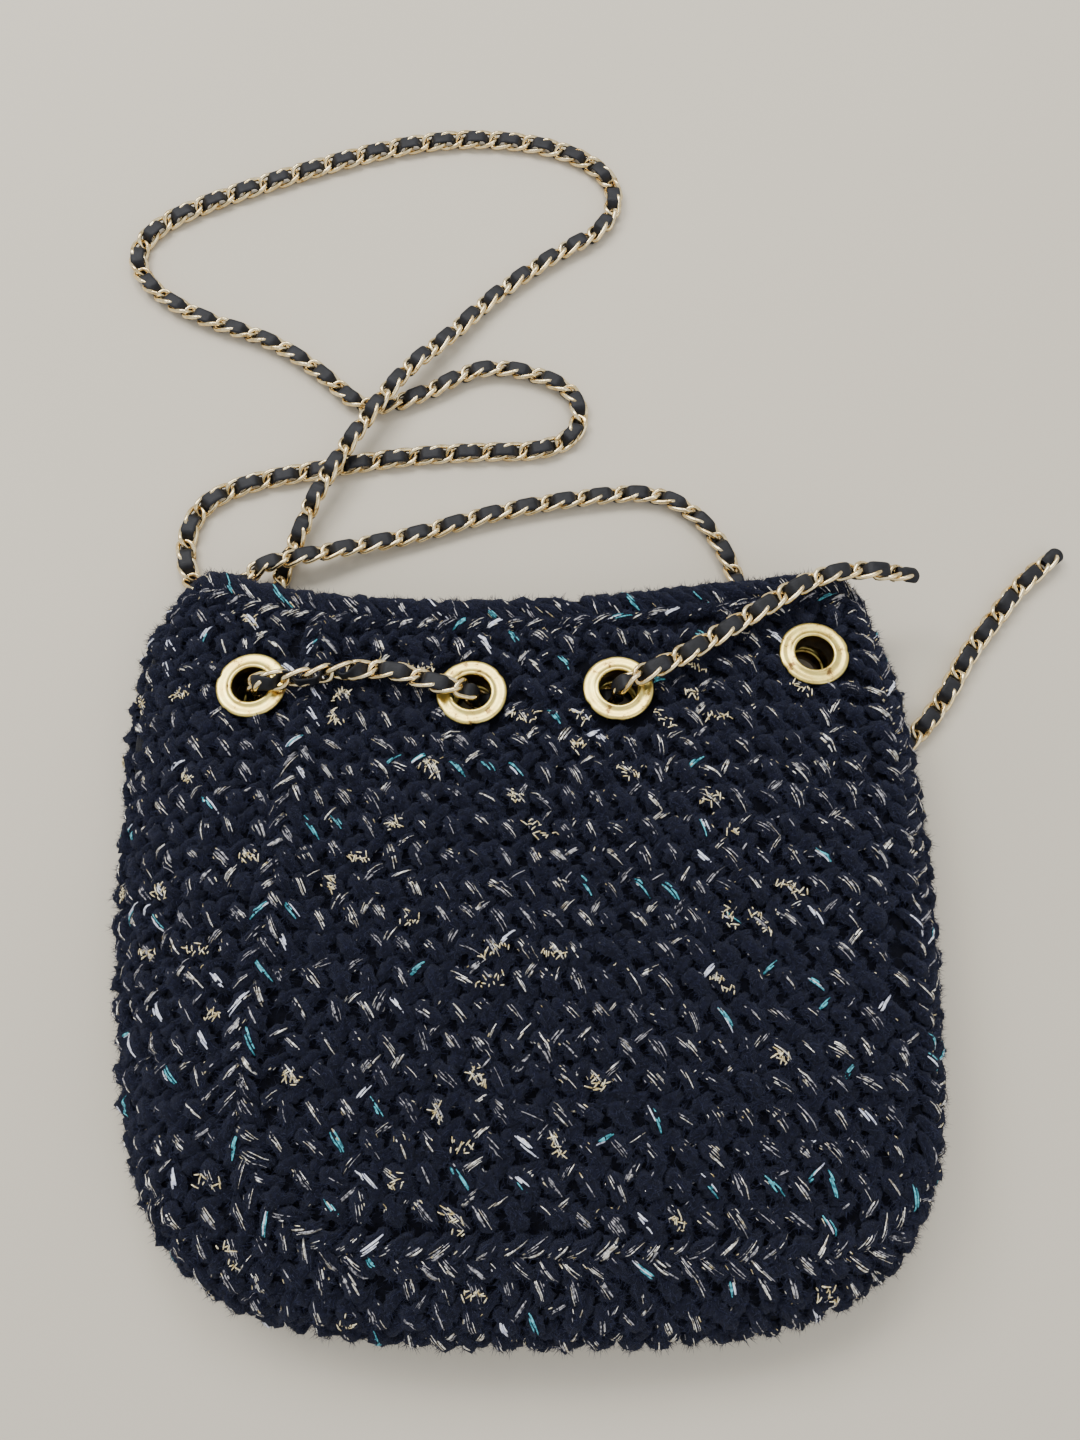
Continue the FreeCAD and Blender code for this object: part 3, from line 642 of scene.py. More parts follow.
def smooth_line(points, per_span=10):
    """A smooth open line through a short list of points."""
    points = np.asarray(points, float)
    before = np.vstack([2 * points[0] - points[1], points[:-2]])
    after = np.vstack([points[2:], 2 * points[-1] - points[-2]])
    first, last = points[:-1], points[1:]
    t = (np.arange(per_span) / per_span)[None, :, None]
    m0 = ((last - before) / 2)[:, None]
    m1 = ((after - first) / 2)[:, None]
    p0, p1 = first[:, None], last[:, None]
    line = ((2 * t ** 3 - 3 * t ** 2 + 1) * p0 + (t ** 3 - 2 * t ** 2 + t) * m0
            + (3 * t ** 2 - 2 * t ** 3) * p1 + (t ** 3 - t ** 2) * m1)
    return np.vstack([line.reshape(-1, points.shape[1]), points[-1]])


def inside(x, y, line):
    """Whether points are inside a line, closed from its end back to its start."""
    after = np.roll(line, -1, axis=0)
    crossed = np.zeros(np.shape(x), bool)
    for (x0, y0), (x1, y1) in zip(line, after):
        if y0 == y1:
            continue
        straddles = (y0 > y) != (y1 > y)
        crossed ^= straddles & (x < (x1 - x0) * (y - y0) / (y1 - y0) + x0)
    return crossed


def line_distance(x, y, line):
    """How far points are from a line."""
    best = np.full(np.shape(x), np.inf)
    for (x0, y0), (x1, y1) in zip(line[:-1], line[1:]):
        dx, dy = x1 - x0, y1 - y0
        t = np.clip(((x - x0) * dx + (y - y0) * dy) / (dx * dx + dy * dy), 0, 1)
        best = np.minimum(best, np.hypot(x - x0 - t * dx, y - y0 - t * dy))
    return best


class PlanField:
    """How far each place of the plan is inside the outline, and which way is inward."""

    STEP = 1.5 * MM
    LOW = np.array([-165, -150]) * MM
    HIGH = np.array([160, 165]) * MM
    SMOOTHINGS = 2

    def __init__(self, outline):
        x = np.arange(self.LOW[0], self.HIGH[0], self.STEP)
        y = np.arange(self.LOW[1], self.HIGH[1], self.STEP)
        grid_x, grid_y = np.meshgrid(x, y, indexing="ij")
        depth = line_distance(grid_x, grid_y, outline)
        depth = np.where(inside(grid_x, grid_y, outline), depth, -depth)
        for _ in range(self.SMOOTHINGS):
            padded = np.pad(depth, 1, mode="edge")
            depth = (padded[:-2, 1:-1] + padded[2:, 1:-1] + padded[1:-1, :-2]
                     + padded[1:-1, 2:] + 4 * depth) / 8
        slope_x, slope_y = np.gradient(depth, self.STEP)
        size = np.maximum(np.hypot(slope_x, slope_y), 1e-6)
        self.values = np.stack([depth, slope_x / size, slope_y / size])

    def read(self, a, b):
        """The depth inside the outline and the inward direction at (a, b)."""
        u = np.clip((a - self.LOW[0]) / self.STEP, 0, self.values.shape[1] - 1.001)
        v = np.clip((b - self.LOW[1]) / self.STEP, 0, self.values.shape[2] - 1.001)
        i, j = u.astype(int), v.astype(int)
        u, v = u - i, v - j
        field = self.values
        return ((1 - u) * (1 - v) * field[:, i, j] + u * (1 - v) * field[:, i + 1, j]
                + (1 - u) * v * field[:, i, j + 1] + u * v * field[:, i + 1, j + 1])


FIELD = PlanField(smooth_line(OUTLINE))
MOUTH = smooth_line(MOUTH_LINE)


def mouth_at(a):
    """How far up the mouth's edge is at a."""
    return np.interp(a, MOUTH[:, 0], MOUTH[:, 1])


def depth_at(a, b):
    """How far cloth at (a, b) is from the fold between top layer and bottom layer."""
    return FIELD.read(a, b)[0] + EDGE_LAP - EDGE_ROLL


EYELET_PLACES = eyelet_middles("back")[:, :2]
EYELET_SEATS = eyelet_middles("front")[:, 2]
MOUTH_SLOPE = (EYELET_SEATS[1] - EYELET_SEATS[3]) / (EYELET_PLACES[3, 1] - EYELET_PLACES[1, 1])
KNEE_Z = 36.5 * MM
BASE_Z = 31 * MM
CROWN = 5.0 * MM
CROSS_RISE = 28 * MM       # what a side rises over its width, before the layer's top blends in
SIDES = MM * np.array([    # a side's edge x, its z there, the x where it ends, its bulge
    (-131, 13, -88, 13), (129, 14, 104, 20)])
BLEND = 0.45 / MM          # how sharply the slopes meet
SAG, SAG_RATE = 0.5 * MM, 42
FOLD_Z = 11.5 * MM
LEAST_WALL = 3.5 * MM      # from the back up to the fold
LEAST_LOFT = 2 * MM        # from the fold up to the top layer


def top_height(x, y):
    """The top layer: level over the middle, down to the mouth, the base and both sides."""
    t = (y - BASE_Y) / (KNEE_Y - BASE_Y)
    crown = BASE_Z + (KNEE_Z - BASE_Z) * t + 4 * CROWN * t * (1 - t)
    along = np.where(y > KNEE_Y, KNEE_Z - (y - KNEE_Y) * MOUTH_SLOPE, crown)
    total = np.exp(-BLEND * along)
    for edge_x, edge_z, end_x, bulge in SIDES:
        t = (x - edge_x) / (end_x - edge_x)
        swell = bulge * np.minimum(t, 1) * (1 - np.minimum(t, 1))
        total = total + np.exp(-BLEND * (edge_z + CROSS_RISE * t + swell))
    sag = SAG * wave(x * SAG_RATE, y * SAG_RATE, 5) * ease(KNEE_Y - y, 0, 30 * MM)
    return -np.log(total) / BLEND + sag


def back_height(y):
    """The bottom layer: on the floor, lifted near the mouth."""
    return LIFT * ease(y, *LIFT_Y)


def form(a, b, side):
    """The bag's outer surface at the cloth's own place (a, b) on its top or bottom layer."""
    depth, inward_x, inward_y = FIELD.read(a, b)
    lap = depth + EDGE_LAP - EDGE_ROLL
    turn = np.minimum(lap / EDGE_LAP, 1) * math.pi / 2
    rolled = lap < EDGE_LAP
    plan = np.where(rolled, EDGE_ROLL * (1 - np.cos(turn)), depth)
    x = a + inward_x * (plan - depth)
    y = b + inward_y * (plan - depth)
    low = back_height(y)
    fold = np.maximum(FOLD_Z, low + LEAST_WALL)
    high = np.maximum(top_height(x, y), fold + LEAST_LOFT)
    reach = np.where(rolled, np.sin(turn), 1.0)
    z = np.where(side * np.sign(reach) > 0, fold + (high - fold) * np.abs(reach),
                 fold - (fold - low) * np.abs(reach))
    return np.stack([x, y, z], axis=-1)


def cloth(a, b, side, height=0.0):
    """The outer surface moved out by height, and its outward normal."""
    tiny = 0.6 * MM
    across = form(a + tiny, b, side) - form(a - tiny, b, side)
    upward = form(a, b + tiny, side) - form(a, b - tiny, side)
    normal = unit(np.cross(across, upward)) * side
    return form(a, b, side) + normal * np.asarray(height)[..., None], normal


# ======== crochet
COLUMN = 8.4 * MM
ROW = 8.8 * MM
ROW_LEAN = 0.13            # how much of a column each row is ahead of the last
GROUND = -3.4 * MM         # the ground between the loops, under the outer surface
BACK_THINNER = 0.5 * MM    # how much lower the loops of the bottom layer are
SEAM_CLEAR = 6.8 * MM      # how far the other loops stay from a seam's line
EYELET_CLEAR = 11.7 * MM   # and from an eyelet's middle
MOUTH_CLEAR = 11 * MM      # and from the mouth's edge
# Loops: slant in degrees, size, heights, shift in columns and rows, share with flecks. A size
# is in mm: half the length, width and height. Heights are in mm, at the ends and the crest.
# The first kind lies between the plump loops of the second kind.
LOOPS = ((44, (4.4, 2.0, 1.6), (-3.9, -2.2), (0.5, 0.42), 0.36),
         (-52, (4.8, 2.55, 2.0), (-3.9, -1.35), (0.0, 0.0), 0.92))
LOOP_SPREADS = ((0.9, 1.1), (0.9, 1.12), (0.88, 1.1))     # least and most share of each size
LOOP_SIDES, LOOP_STEPS = 8, 10
LUMPS, MATTING = 0.15, 0.17     # how uneven the yarn is, along it and over its skin
SEAM_PITCH = 6.4 * MM
SEAM_SIZE, SEAM_HEIGHTS = (5.2, 2.2, 1.9), (-3.9, -0.5)
SEAM_SPREADS = ((0.92, 1.1), (0.9, 1.1), (0.9, 1.1))
FLECK_KINDS = (IN_CREAM, IN_GREY, IN_TEAL, IN_WHITE)
FLECK_SHARES = (0.50, 0.80, 0.87, 0.91)     # the running share of loops with each kind
THREAD_WIDTHS = (0.11, 0.14, 0.17, 0.23, 0.36)     # mm, half the width
THREAD_GAP = 0.20               # radians round the yarn between a bundle's threads
SPECKS = 2.0                    # on each loop
FIBRE_REACH = (0.9, 2.9)        # mm
FIBRE_HALF = 0.10 * MM
LASH_SHARE, LASH_HAIRS = 0.08, 12     # of the plump loops with a clump; hairs in a clump
LASH_RUN, LASH_REACH = (1.5, 4.5), (0.3, 1.25)     # mm: half a clump's length and a hair's
LASH_WANDER, LASH_HALF = 0.95 * MM, 0.24 * MM
BENDS, BEND_RATES = (2.2 * MM, 2.0 * MM), (22, 20)     # how crooked columns and rows are
JITTER = 0.5 * MM               # and how far single loops are off
RIM_PITCH = 5.6 * MM
RIM_LOOP_SIZE, RIM_LOOP_HEIGHTS = (5.0, 2.2, 1.9), (-3.9, -1.4)
RIM_LOOP_SPREADS = ((0.9, 1.1),) * 3
RIM_CORE_B, RIM_CORE_H = -2.9 * MM, -3.1 * MM   # the core's place from the edge, its height
RIM_RADIUS, RIM_FLAT = 2.2 * MM, 6.5 * MM       # round the core, and down the outside
RIM_SINK, RIM_SINK_TO = 2.2 * MM, 0.35          # where a strand dives in at its start
RIM_HALF = 2.15 * MM            # a strand's half width
RIM_STEPS = 13
CORE_HALF, CORE_STEPS = 2.3 * MM, 260
MOST_FIBRES, FEWEST_FIBRES = 150, 40            # on each plump loop
ABOVE_FLOOR = 0.2 * MM


def region(a, b, side):
    """The CAD node that each place of the crochet belongs to."""
    names = np.empty(np.shape(a), object)
    if side == TOP_SIDE:
        names[...] = "gusset_side"
        names[(a < -40 * MM) & (b > -62 * MM)] = "gusset_left"
        names[inside(a, b, FRONT_LINE)] = "front_panel"
        return names
    names[...] = np.where(b < LIFT_Y[0], "gusset_right", "gusset_yoke")
    within = inside(a, b, BACK_LINE) | (a < -100 * MM)
    names[within] = np.where(b[within] < LIFT_Y[0], "back_panel", "back_yoke")
    return names


FRONT_LINE = smooth_line(FRONT_SEAM)
BACK_LINE = smooth_line(BACK_SEAM)
SEAM_LINES = {TOP_SIDE: FRONT_LINE, BACK_SIDE: BACK_LINE}
TOP_NODES = ["front_panel", "gusset_left", "gusset_side"]
BACK_NODES = ["back_panel", "back_yoke", "gusset_right", "gusset_yoke"]


def eyelet_gap(a, b):
    """How far places are from the nearest eyelet's middle."""
    return np.min([np.hypot(a - x, b - y) for x, y in EYELET_PLACES], axis=0)




def strands(a, b, side, angle, size, spreads, heights, draw, bow=0.0):
    """Plump yarn loops laid on the cloth: centred on (a, b), turned by angle, from low
    under the surface at both ends to a crest. Gives the mesh and what threads follow."""
    half, wide, high = (value * MM * draw.uniform(*spread, len(a))
                        for value, spread in zip(size, spreads))
    low, crest = heights[0] * MM, heights[1] * MM
    t = np.broadcast_to(np.linspace(-1, 1, LOOP_STEPS), (len(a), LOOP_STEPS))
    along_a, along_b = np.cos(angle)[:, None], np.sin(angle)[:, None]
    swing = bow * (1 - t * t)
    place_a = a[:, None] + half[:, None] * t * along_a - swing * along_b
    place_b = b[:, None] + half[:, None] * t * along_b + swing * along_a
    swell = np.cos(t * math.pi / 2) ** 0.7
    height = low + (crest - low) * swell
    if side == BACK_SIDE:
        height = height - BACK_THINNER
    points, normals = cloth(place_a, place_b, side, height)
    plump = 0.5 + 0.5 * swell
    lumpy = 1 + LUMPS * draw.standard_normal(t.shape)
    wide = wide[:, None] * plump * lumpy
    high = high[:, None] * plump * lumpy
    return matted(points, normals, wide, high, draw), (points, normals, wide, high)


def matted(paths, normals, wide, high, draw):
    """Yarn along paths, its skin moved in and out at random: one part of a mesh."""
    skin, faces = tubes(paths, normals, wide, high, LOOP_SIDES)
    middle = np.repeat(paths.reshape(-1, 3), LOOP_SIDES, axis=0)
    rough = 1 + MATTING * draw.standard_normal((len(skin), 1))
    return middle + (skin - middle) * rough, faces, IN_YARN


def on_strand(strand, pick, t, around, proud):
    """Points on picked strands' surfaces: t from 0 to 1 along, around in radians, proud of
    the surface by that much; with the strand's along and outward directions there."""
    points, normals, wide, high = (part[pick] for part in strand)
    steps = points.shape[1]
    place = np.clip(t, 0, 1) * (steps - 1.001)
    i = place.astype(int)
    share = place - i
    rows = np.arange(len(pick))
    rows = rows if t.ndim == 1 else rows[:, None]

    def at(values):
        """Values given at each step of the strands, read at the picked places."""
        mix = share[..., None] if values.ndim == 3 else share
        return values[rows, i] * (1 - mix) + values[rows, i + 1] * mix

    along = unit(np.gradient(points, axis=1))
    middle, along, normal = at(points), unit(at(along)), unit(at(normals))
    across = unit(np.cross(along, normal))
    upward = np.cross(across, along)
    cos, sin = np.cos(around), np.sin(around)
    out = unit(across * cos[..., None] + upward * sin[..., None])
    offset = (across * (cos * (at(wide) + proud))[..., None]
              + upward * (sin * (at(high) + proud))[..., None])
    return middle + offset, along, out


def threads_on(strand, pick, draw, materials, widths, span, spread_angle, steps=6):
    """Fine parallel threads wrapped over the crest of picked strands."""
    count = len(pick)
    start = draw.uniform(0.14, 0.44, count)
    length = draw.uniform(*span, count)
    t = start[:, None] + length[:, None] * np.linspace(0, 1, steps)[None]
    around = math.pi / 2 + spread_angle[:, None] + draw.uniform(-0.1, 0.1, (count, 1))
    around = np.broadcast_to(around, t.shape)
    proud = 0.08 * MM + 0.10 * MM * draw.random((count, 1))
    points, _, out = on_strand(strand, pick, t, around, np.broadcast_to(proud, t.shape))
    taper = np.sin(np.linspace(0.12, 0.88, steps) * math.pi)[None] ** 0.5
    wide = widths[:, None] * taper
    sides = 4
    points, faces = tubes(points, out, wide, wide * 0.55, sides, math.pi / sides)
    return [(points, faces, np.repeat(materials, (steps - 1) * sides))]


def flecks(strand, draw, rate=0.86, span=(0.16, 0.50)):
    """The tweed's flecks: bundles of bright and dull threads lying over most of the loops,
    and single specks where threads dive into the yarn."""
    count = len(strand[0])
    chance = draw.random(count)
    kind = np.select([chance < share * rate for share in FLECK_SHARES], FLECK_KINDS, -1)
    number = np.where(kind >= 0, draw.choice([1, 2, 3, 3, 4, 5], count), 0)
    number = np.where((kind == IN_TEAL) | (kind == IN_WHITE), 3, number)
    pick = np.repeat(np.arange(count), number)
    rank = np.concatenate([np.arange(n) - (n - 1) / 2 for n in number])
    material = kind[pick]
    stray = draw.random(len(pick))
    material = np.where((stray < 0.35) & (material == IN_CREAM), IN_GREY, material)
    material = np.where((stray > 0.80) & (material == IN_GREY), IN_CREAM, material)
    material = np.where((stray < 0.25) & (material == IN_TEAL), IN_WHITE, material)
    wide_kind = (material == IN_TEAL) | (material == IN_WHITE)
    widths = np.where(wide_kind, draw.uniform(0.22, 0.42, len(pick)),
                      draw.choice(THREAD_WIDTHS, len(pick))) * MM
    lines = threads_on(strand, pick, draw, material, widths, span, rank * THREAD_GAP)
    specks = np.repeat(np.arange(count), draw.poisson(SPECKS * rate, count))
    material = draw.choice([IN_CREAM, IN_GREY, IN_GREY, IN_LUREX], len(specks))
    return lines + threads_on(strand, specks, draw, material,
                              draw.uniform(0.12, 0.30, len(specks)) * MM, (0.04, 0.12),
                              draw.uniform(-1.2, 1.2, len(specks)), 3)


def fuzz(strand, draw, per_strand):
    """Short fine fibres that stand and lie all over the loops."""
    count = len(strand[0])
    pick = np.repeat(np.arange(count), per_strand)
    total = len(pick)
    root, along, out = on_strand(strand, pick, draw.uniform(0.0, 1.0, total),
                                 draw.uniform(0.0, 1.0, total) * math.pi,
                                 np.full(total, -0.1 * MM))
    drift = draw.normal(0, 1, (total, 3))
    lift = draw.uniform(0.15, 1.0, (total, 1))
    way = unit(out * lift + along * draw.normal(0, 0.7, (total, 1)) + drift * 0.45)
    length = draw.uniform(*FIBRE_REACH, (total, 1)) * MM
    side = unit(np.cross(way, drift[:, ::-1])) * FIBRE_HALF
    points = np.stack([root - side, root + side, root + way * length], axis=1)
    faces = np.arange(3 * total).reshape(-1, 3)
    return [(points.reshape(-1, 3), faces, IN_FUZZ)]


def lashes(a, b, side, draw):
    """Clumps of gold eyelash yarn: a crooked core with many short bright hairs."""
    count, hairs = len(a), LASH_HAIRS
    heading = draw.uniform(-1.1, 0.3, (count, 1))
    run = np.linspace(-1, 1, hairs)[None] * draw.uniform(*LASH_RUN, (count, 1)) * MM
    wander = draw.normal(0, 1, (count, hairs)) * LASH_WANDER
    root_a = a[:, None] + run * np.cos(heading) - wander * np.sin(heading)
    root_b = b[:, None] + run * np.sin(heading) + wander * np.cos(heading)
    turn = heading + draw.choice([-1.2, 1.3, 0.2], (count, hairs))
    turn = turn + draw.normal(0, 0.4, (count, hairs))
    length = draw.uniform(*LASH_REACH, (count, hairs)) * MM
    t = np.linspace(-1, 1, 3)[None, None]
    place_a = (root_a[..., None] + t * (length * np.cos(turn))[..., None]).reshape(-1, 3)
    place_b = (root_b[..., None] + t * (length * np.sin(turn))[..., None]).reshape(-1, 3)
    height = 0.5 * MM + 0.5 * MM * draw.random((count * hairs, 1)) + 0.25 * MM * (1 - t[0] ** 2)
    points, normals = cloth(place_a, place_b, side, height)
    wide = np.broadcast_to(np.array([0.6, 1.0, 0.7]) * LASH_HALF, points.shape[:2])
    return [(*tubes(points, normals, wide, wide, 4), IN_LUREX)]


def grid_cells(step, margin, mouth_gap, hole):
    """A grid over one layer's cloth, and which of its cells are kept: those that are no more
    than margin past the fold, mouth_gap inside the mouth, and clear of the eyelets' holes."""
    a = np.arange(-158 * MM, 152 * MM, step)
    b = np.arange(-140 * MM, 120 * MM, step)
    grid_a, grid_b = np.meshgrid(a, b, indexing="ij")
    grid_b = np.minimum(grid_b, mouth_at(grid_a) - mouth_gap)
    middle_a = (grid_a[:-1, :-1] + grid_a[1:, 1:]) / 2
    middle_b = (grid_b[:-1, :-1] + grid_b[1:, 1:]) / 2
    tall = grid_b[:-1, 1:] - grid_b[:-1, :-1] > 0.05 * MM
    kept = (depth_at(middle_a, middle_b) > -margin) & tall
    kept &= eyelet_gap(middle_a, middle_b) > hole
    return grid_a, grid_b, middle_a, middle_b, kept


def grid_faces(shape, chosen):
    """The chosen quads of a grid."""
    first = np.arange(shape[0] * shape[1]).reshape(shape)
    faces = np.stack([first[:-1, :-1], first[1:, :-1], first[1:, 1:], first[:-1, 1:]], axis=-1)
    return faces[chosen]


def compact(points, faces):
    """Only the points that the faces use."""
    used, faces = np.unique(faces, return_inverse=True)
    return points[used], faces.reshape(-1, 4)


def ground(side, nodes):
    """The ground under the loops, cut up by node; the darker navy it is given is painted
    shadow.
    """
    grid_a, grid_b, middle_a, middle_b, kept = grid_cells(
        step=1.9 * MM, margin=4 * MM, mouth_gap=2.5 * MM, hole=8.2 * MM)
    stitches = np.sin(grid_b / ROW * 2 * math.pi) * np.sin(grid_a / COLUMN * 2 * math.pi)
    height = GROUND + 0.5 * MM * stitches + 0.3 * MM * wave(grid_a * 700, grid_b * 700, 8)
    if side == BACK_SIDE:
        height = height - 0.4 * MM
    points = cloth(grid_a, grid_b, side, height)[0].reshape(-1, 3)
    names = region(middle_a, middle_b, side)
    out = {}
    for node in nodes:
        faces = grid_faces(grid_a.shape, kept & (names == node))
        out[node] = compact(points, faces[:, ::side])
    return out


def stitch_places(side, shift_a, shift_b, draw):
    """Where the loops of one kind are centred on a layer."""
    i, j = np.meshgrid(np.arange(-20, 20), np.arange(-18, 16), indexing="ij")
    a = ((i + shift_a + ROW_LEAN * j) * COLUMN).ravel()
    b = ((j + shift_b) * ROW).ravel()
    bend_a = BENDS[0] * wave(a * BEND_RATES[0], b * BEND_RATES[0], 21)
    bend_b = BENDS[1] * wave(a * BEND_RATES[1], b * BEND_RATES[1], 22)
    a = a + bend_a + draw.normal(0, JITTER, len(a))
    b = b + bend_b + draw.normal(0, JITTER, len(b))
    kept = (depth_at(a, b) > 0.5 * MM) & (b < mouth_at(a) - MOUTH_CLEAR)
    kept &= eyelet_gap(a, b) > EYELET_CLEAR
    kept &= line_distance(a, b, SEAM_LINES[side]) > SEAM_CLEAR
    return a[kept], b[kept]


def crochet_layer(side, nodes, seed, fibres):
    """All the crochet of one layer: by node, the yarn's, the threads' and the nap's meshes."""
    draw = np.random.default_rng(seed)
    base = ground(side, nodes)
    # The ground takes the darker navy: painted shadow between the loops.
    yarn = {node: [(*base[node], IN_SHADOW)] for node in nodes}
    thread = {node: [] for node in nodes}
    nap = {node: [] for node in nodes}
    for slant, size, heights, shift, rate in LOOPS:
        plump = slant < 0
        a, b = stitch_places(side, *shift, draw)
        names = region(a, b, side)
        steep = np.where(names == "gusset_side", 1.25, 1.0)
        for node in nodes:
            chosen = names == node
            count = int(chosen.sum())
            if count == 0:
                continue
            angle = np.radians(slant * steep[chosen] + draw.normal(0, 11, count))
            mesh, strand = strands(a[chosen], b[chosen], side, angle, size, LOOP_SPREADS,
                                   heights, draw, bow=0.5 * MM)
            yarn[node].append(mesh)
            thread[node] += flecks(strand, draw, rate)
            nap[node] += fuzz(strand, draw, fibres if plump else fibres // 2)
            if plump:
                lucky = np.flatnonzero(draw.random(count) < LASH_SHARE)
                if len(lucky):
                    thread[node] += lashes(a[chosen][lucky], b[chosen][lucky], side, draw)
    return yarn, thread, nap


def along_line(line, pitch, start=0.0):
    """Places every pitch along a line, with the line's direction."""
    reached = arc_length(line)
    at = np.arange(start, reached[-1], pitch)
    place, ahead, behind = (
        np.stack([np.interp(at + shift, reached, line[:, k]) for k in (0, 1)], axis=1)
        for shift in (0, pitch / 4, -pitch / 4))
    return place, unit(ahead - behind)


def seam_braid(side, seed, fibres):
    """The raised seam: two rows of slanted strands that meet in a ridge."""
    draw = np.random.default_rng(seed)
    yarn, thread, nap = [], [], []
    for hand in (1, -1):
        place, way = along_line(SEAM_LINES[side], SEAM_PITCH, 0.5 * SEAM_PITCH * (hand > 0))
        kept = (depth_at(*place.T) > 1 * MM) & (place[:, 1] < mouth_at(place[:, 0]) - 7 * MM)
        place, way = place[kept], way[kept]
        out = np.stack([way[:, 1], -way[:, 0]], axis=1) * hand
        middle = place + way * 1.6 * MM + out * 2.5 * MM
        heading = way * 0.80 + out * 0.62
        angle = np.arctan2(heading[:, 1], heading[:, 0]) + draw.normal(0, 0.09, len(place))
        mesh, strand = strands(*middle.T, side, angle, SEAM_SIZE, SEAM_SPREADS, SEAM_HEIGHTS,
                               draw)
        yarn.append(mesh)
        thread += flecks(strand, draw, 0.95)
        nap += fuzz(strand, draw, fibres)
    return yarn, thread, nap


def rim_points(a, u, drift):
    """A place over the mouth's edge: u from 0 on the outside to 1 on the inside."""
    turn = math.pi / 2 - math.pi * np.clip((u - 0.5) / 0.5, 0, 1)
    out_b = np.where(u < 0.5, RIM_CORE_B - RIM_FLAT * (0.5 - u) / 0.5,
                     RIM_CORE_B + RIM_RADIUS * np.cos(turn))
    sink = RIM_SINK * np.clip(RIM_SINK_TO - u, 0, 1) / RIM_SINK_TO
    place_a = a + drift * (u - 0.4)
    return place_a, mouth_at(place_a) + out_b, RIM_CORE_H + RIM_RADIUS * np.sin(turn) - sink


def rim_core(a, side):
    """The middle of the rim's core, and the cloth's outward direction there."""
    return cloth(a, mouth_at(a) + RIM_CORE_B, side, RIM_CORE_H)


def rim_normals(points, a, side):
    """Directions away from the rim's core."""
    core, _ = rim_core(a, side)
    along = unit(rim_core(a + MM, side)[0] - core)[:, None]
    away = points - core[:, None]
    return unit(away - along * (away * along).sum(-1, keepdims=True))


def rim_edge(side, seed, fibres):
    """The mouth's edge: slanted strands that wrap over a core from outside to inside, and a
    row of loops under them."""
    draw = np.random.default_rng(seed)
    ends = np.linspace(-150 * MM, 145 * MM, 2000)
    kept = ends[depth_at(ends, mouth_at(ends) - 3 * MM) > 0]
    first, last = kept[0], kept[-1]
    count = int((last - first) / RIM_PITCH)
    a = first + RIM_PITCH * (np.arange(count) + 0.5) + draw.normal(0, 0.7, count) * MM
    u = np.broadcast_to(np.linspace(0, 1, RIM_STEPS), (count, RIM_STEPS))
    place_a, place_b, height = rim_points(a[:, None], u, draw.normal(-19, 4, (count, 1)) * MM)
    points, _ = cloth(place_a, place_b, side, height)
    normals = rim_normals(points, a, side)
    swell = 0.55 + 0.45 * np.sin(np.clip(u * 1.05, 0, 1) * math.pi) ** 0.6
    lumpy = 1 + 0.09 * draw.standard_normal(u.shape)
    wide = RIM_HALF * swell * lumpy
    high = wide * 0.85
    strand = (points, normals, wide, high)
    mesh = matted(*strand, draw)
    core, up = rim_core(np.linspace(first, last, CORE_STEPS)[None], side)
    core_wide = np.full(core.shape[:2], CORE_HALF)
    low_a = a + 0.4 * RIM_PITCH
    angle = math.radians(24) + draw.normal(0, 0.12, count)
    low_mesh, low = strands(low_a, mouth_at(low_a) - 8.6 * MM, side, angle, RIM_LOOP_SIZE,
                            RIM_LOOP_SPREADS, RIM_LOOP_HEIGHTS, draw)
    # The rim's core takes the darker navy: painted shadow under the strands.
    yarn = [(*tubes(core, up, core_wide, core_wide, LOOP_SIDES), IN_SHADOW), mesh, low_mesh]
    thread = flecks(strand, draw, 0.8, (0.07, 0.22)) + flecks(low, draw, 0.9)
    return yarn, thread, fuzz(strand, draw, 2 * fibres) + fuzz(low, draw, fibres)


def lining_cloth(side, name):
    """The black lining inside one layer, a little slack between the seams."""
    grid_a, grid_b, _, _, kept = grid_cells(
        step=2.4 * MM, margin=-4 * MM, mouth_gap=4.2 * MM, hole=10.2 * MM)
    slack = 0.35 * MM * wave(grid_a * 160, grid_b * 90, 31)
    points, _ = cloth(grid_a, grid_b, side, -5.6 * MM + slack)
    faces = grid_faces(grid_a.shape, kept)[:, ::-side]
    points, faces = compact(points.reshape(-1, 3), faces)
    return mesh_piece(name, [(points, faces, 0)], [LINING])


def join_bag(piece, side, node, replaced=True):
    """The bottom layer is attached to the base and stays on the floor. The top layer is left in
    place, attached to nothing."""
    if side == TOP_SIDE:
        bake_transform(piece)
    else:
        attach(piece, "bag_base")
    if replaced:
        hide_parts(node)


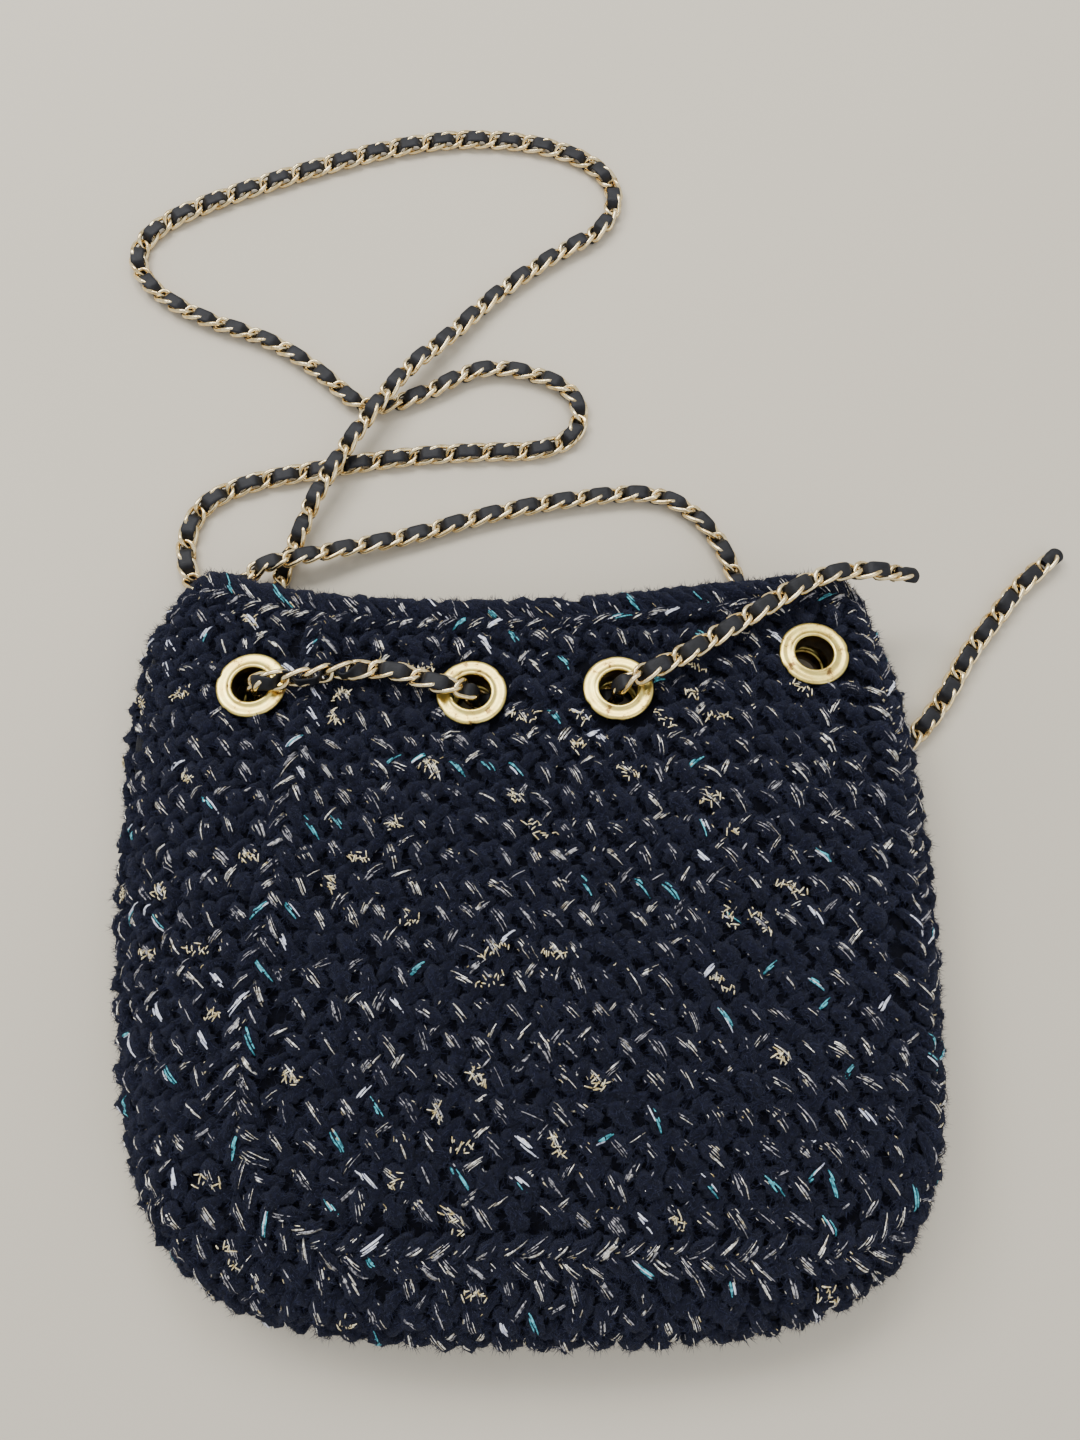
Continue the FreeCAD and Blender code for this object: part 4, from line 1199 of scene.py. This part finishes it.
def make_crochet():
    """The crocheted cloth of both layers, their seams and rims, and the linings."""
    layers = ((TOP_SIDE, TOP_NODES, 101, MOST_FIBRES, "front_seam", "rim_front"),
              (BACK_SIDE, BACK_NODES, 202, FEWEST_FIBRES, "back_seam", "rim_back"))
    for side, nodes, seed, fibres, seam, rim in layers:
        yarn, thread, nap = crochet_layer(side, nodes, seed, fibres)
        yarn[seam], thread[seam], nap[seam] = seam_braid(side, seed + 1, fibres)
        yarn[rim], thread[rim], nap[rim] = rim_edge(side, seed + 2, MOST_FIBRES)
        for node in yarn:
            for kind, parts in (("crochet", yarn), ("threads", thread), ("fuzz", nap)):
                for points, *_ in parts[node]:
                    points[:, 2] = np.maximum(points[:, 2], ABOVE_FLOOR)
                piece = mesh_piece("%s_%s" % (node, kind), parts[node], YARNS)
                join_bag(piece, side, node, kind == "crochet")
    for side, node in ((TOP_SIDE, "lining_front"), (BACK_SIDE, "lining_back")):
        join_bag(lining_cloth(side, node + "_cloth"), side, node)


# ======== eyelets
# Radius and height in mm: the flange over its seat, and the barrel over its lower end.
FLANGE_PROFILE = [
    (6.0, 0.7), (6.15, 1.05), (6.55, 1.25), (7.0, 1.2), (7.35, 0.95), (7.9, 0.72), (8.8, 0.74),
    (9.6, 0.86), (10.2, 0.88), (10.7, 0.68), (11.0, 0.28), (10.9, 0.0), (6.7, 0.0)]
BARREL_PROFILE = [(6.7, 0.7), (7.7, 0.6), (7.7, 0.1), (6.6, 0.0), (6.0, 0.2)]
FLANGE_OUTER = 10.8 * MM       # only the flange reaches past this radius
FLANGE_THICK = 1.2 * MM
EYELET_STEPS = 96
NICKS, NICK_DEPTH, NICK_WIDTH = 5, 0.07, 0.09


def eyelet_ring(name, seed):
    """A stamped eyelet: rounded rim, shallow dish, rolled lip, barrel curled at its end."""
    middle, points, axes, half = node_axes(name)
    axis = axes[2]
    away = points - middle
    height = away @ axis
    radius = np.linalg.norm(away - height[:, None] * axis, axis=1)
    axis = axis * np.sign(height[radius > FLANGE_OUTER].mean())
    profile = MM * np.vstack([FLANGE_PROFILE, BARREL_PROFILE])
    profile[:, 1] += np.repeat([half[2] - FLANGE_THICK, -half[2]],
                               [len(FLANGE_PROFILE), len(BARREL_PROFILE)])
    points, faces = lathe(profile, EYELET_STEPS)
    turn = np.repeat(circle(EYELET_STEPS), len(profile))
    rim = np.tile(np.clip((profile[:, 0] / MM - 9.2) / 1.6, 0, 1), EYELET_STEPS)
    draw = np.random.default_rng(seed)
    angles = draw.uniform(0, 2 * math.pi, NICKS)
    for angle, size in zip(angles, draw.uniform(0.15, 0.5, NICKS)):
        gap = np.abs((turn - angle + math.pi) % (2 * math.pi) - math.pi)
        nick = size * NICK_DEPTH * rim * np.exp(-(gap / NICK_WIDTH) ** 2)
        points *= 1 - nick[:, None] * (1, 1, 0)
    place = np.column_stack([axes[0], np.cross(axis, axes[0]), axis])
    # The bore's inner wall takes the painted shade.
    in_bore_shade = np.tile(np.arange(len(profile)) == len(profile) - 1, EYELET_STEPS).astype(int)
    return mesh_piece(name + "_ring", [(middle + points @ place.T, faces, in_bore_shade)],
                      [EYELET_GOLD, EYELET_BORE_SHADE])


def make_eyelets():
    """The eight eyelets, and their gold on the washers, which keep their CAD shape."""
    for side, body in (("front", "bag_front"), ("back", "bag_base")):
        for number in EYELET_NUMBERS:
            name = "eyelet_%s_%d" % (side, number)
            piece = eyelet_ring(name, number)
            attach(piece, body)
            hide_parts(name)
            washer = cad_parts["washer_%s_%d" % (side, number)]
            washer.data.materials.clear()
            washer.data.materials.append(EYELET_GOLD)


set_stage()
make_chains()
make_crochet()
make_eyelets()
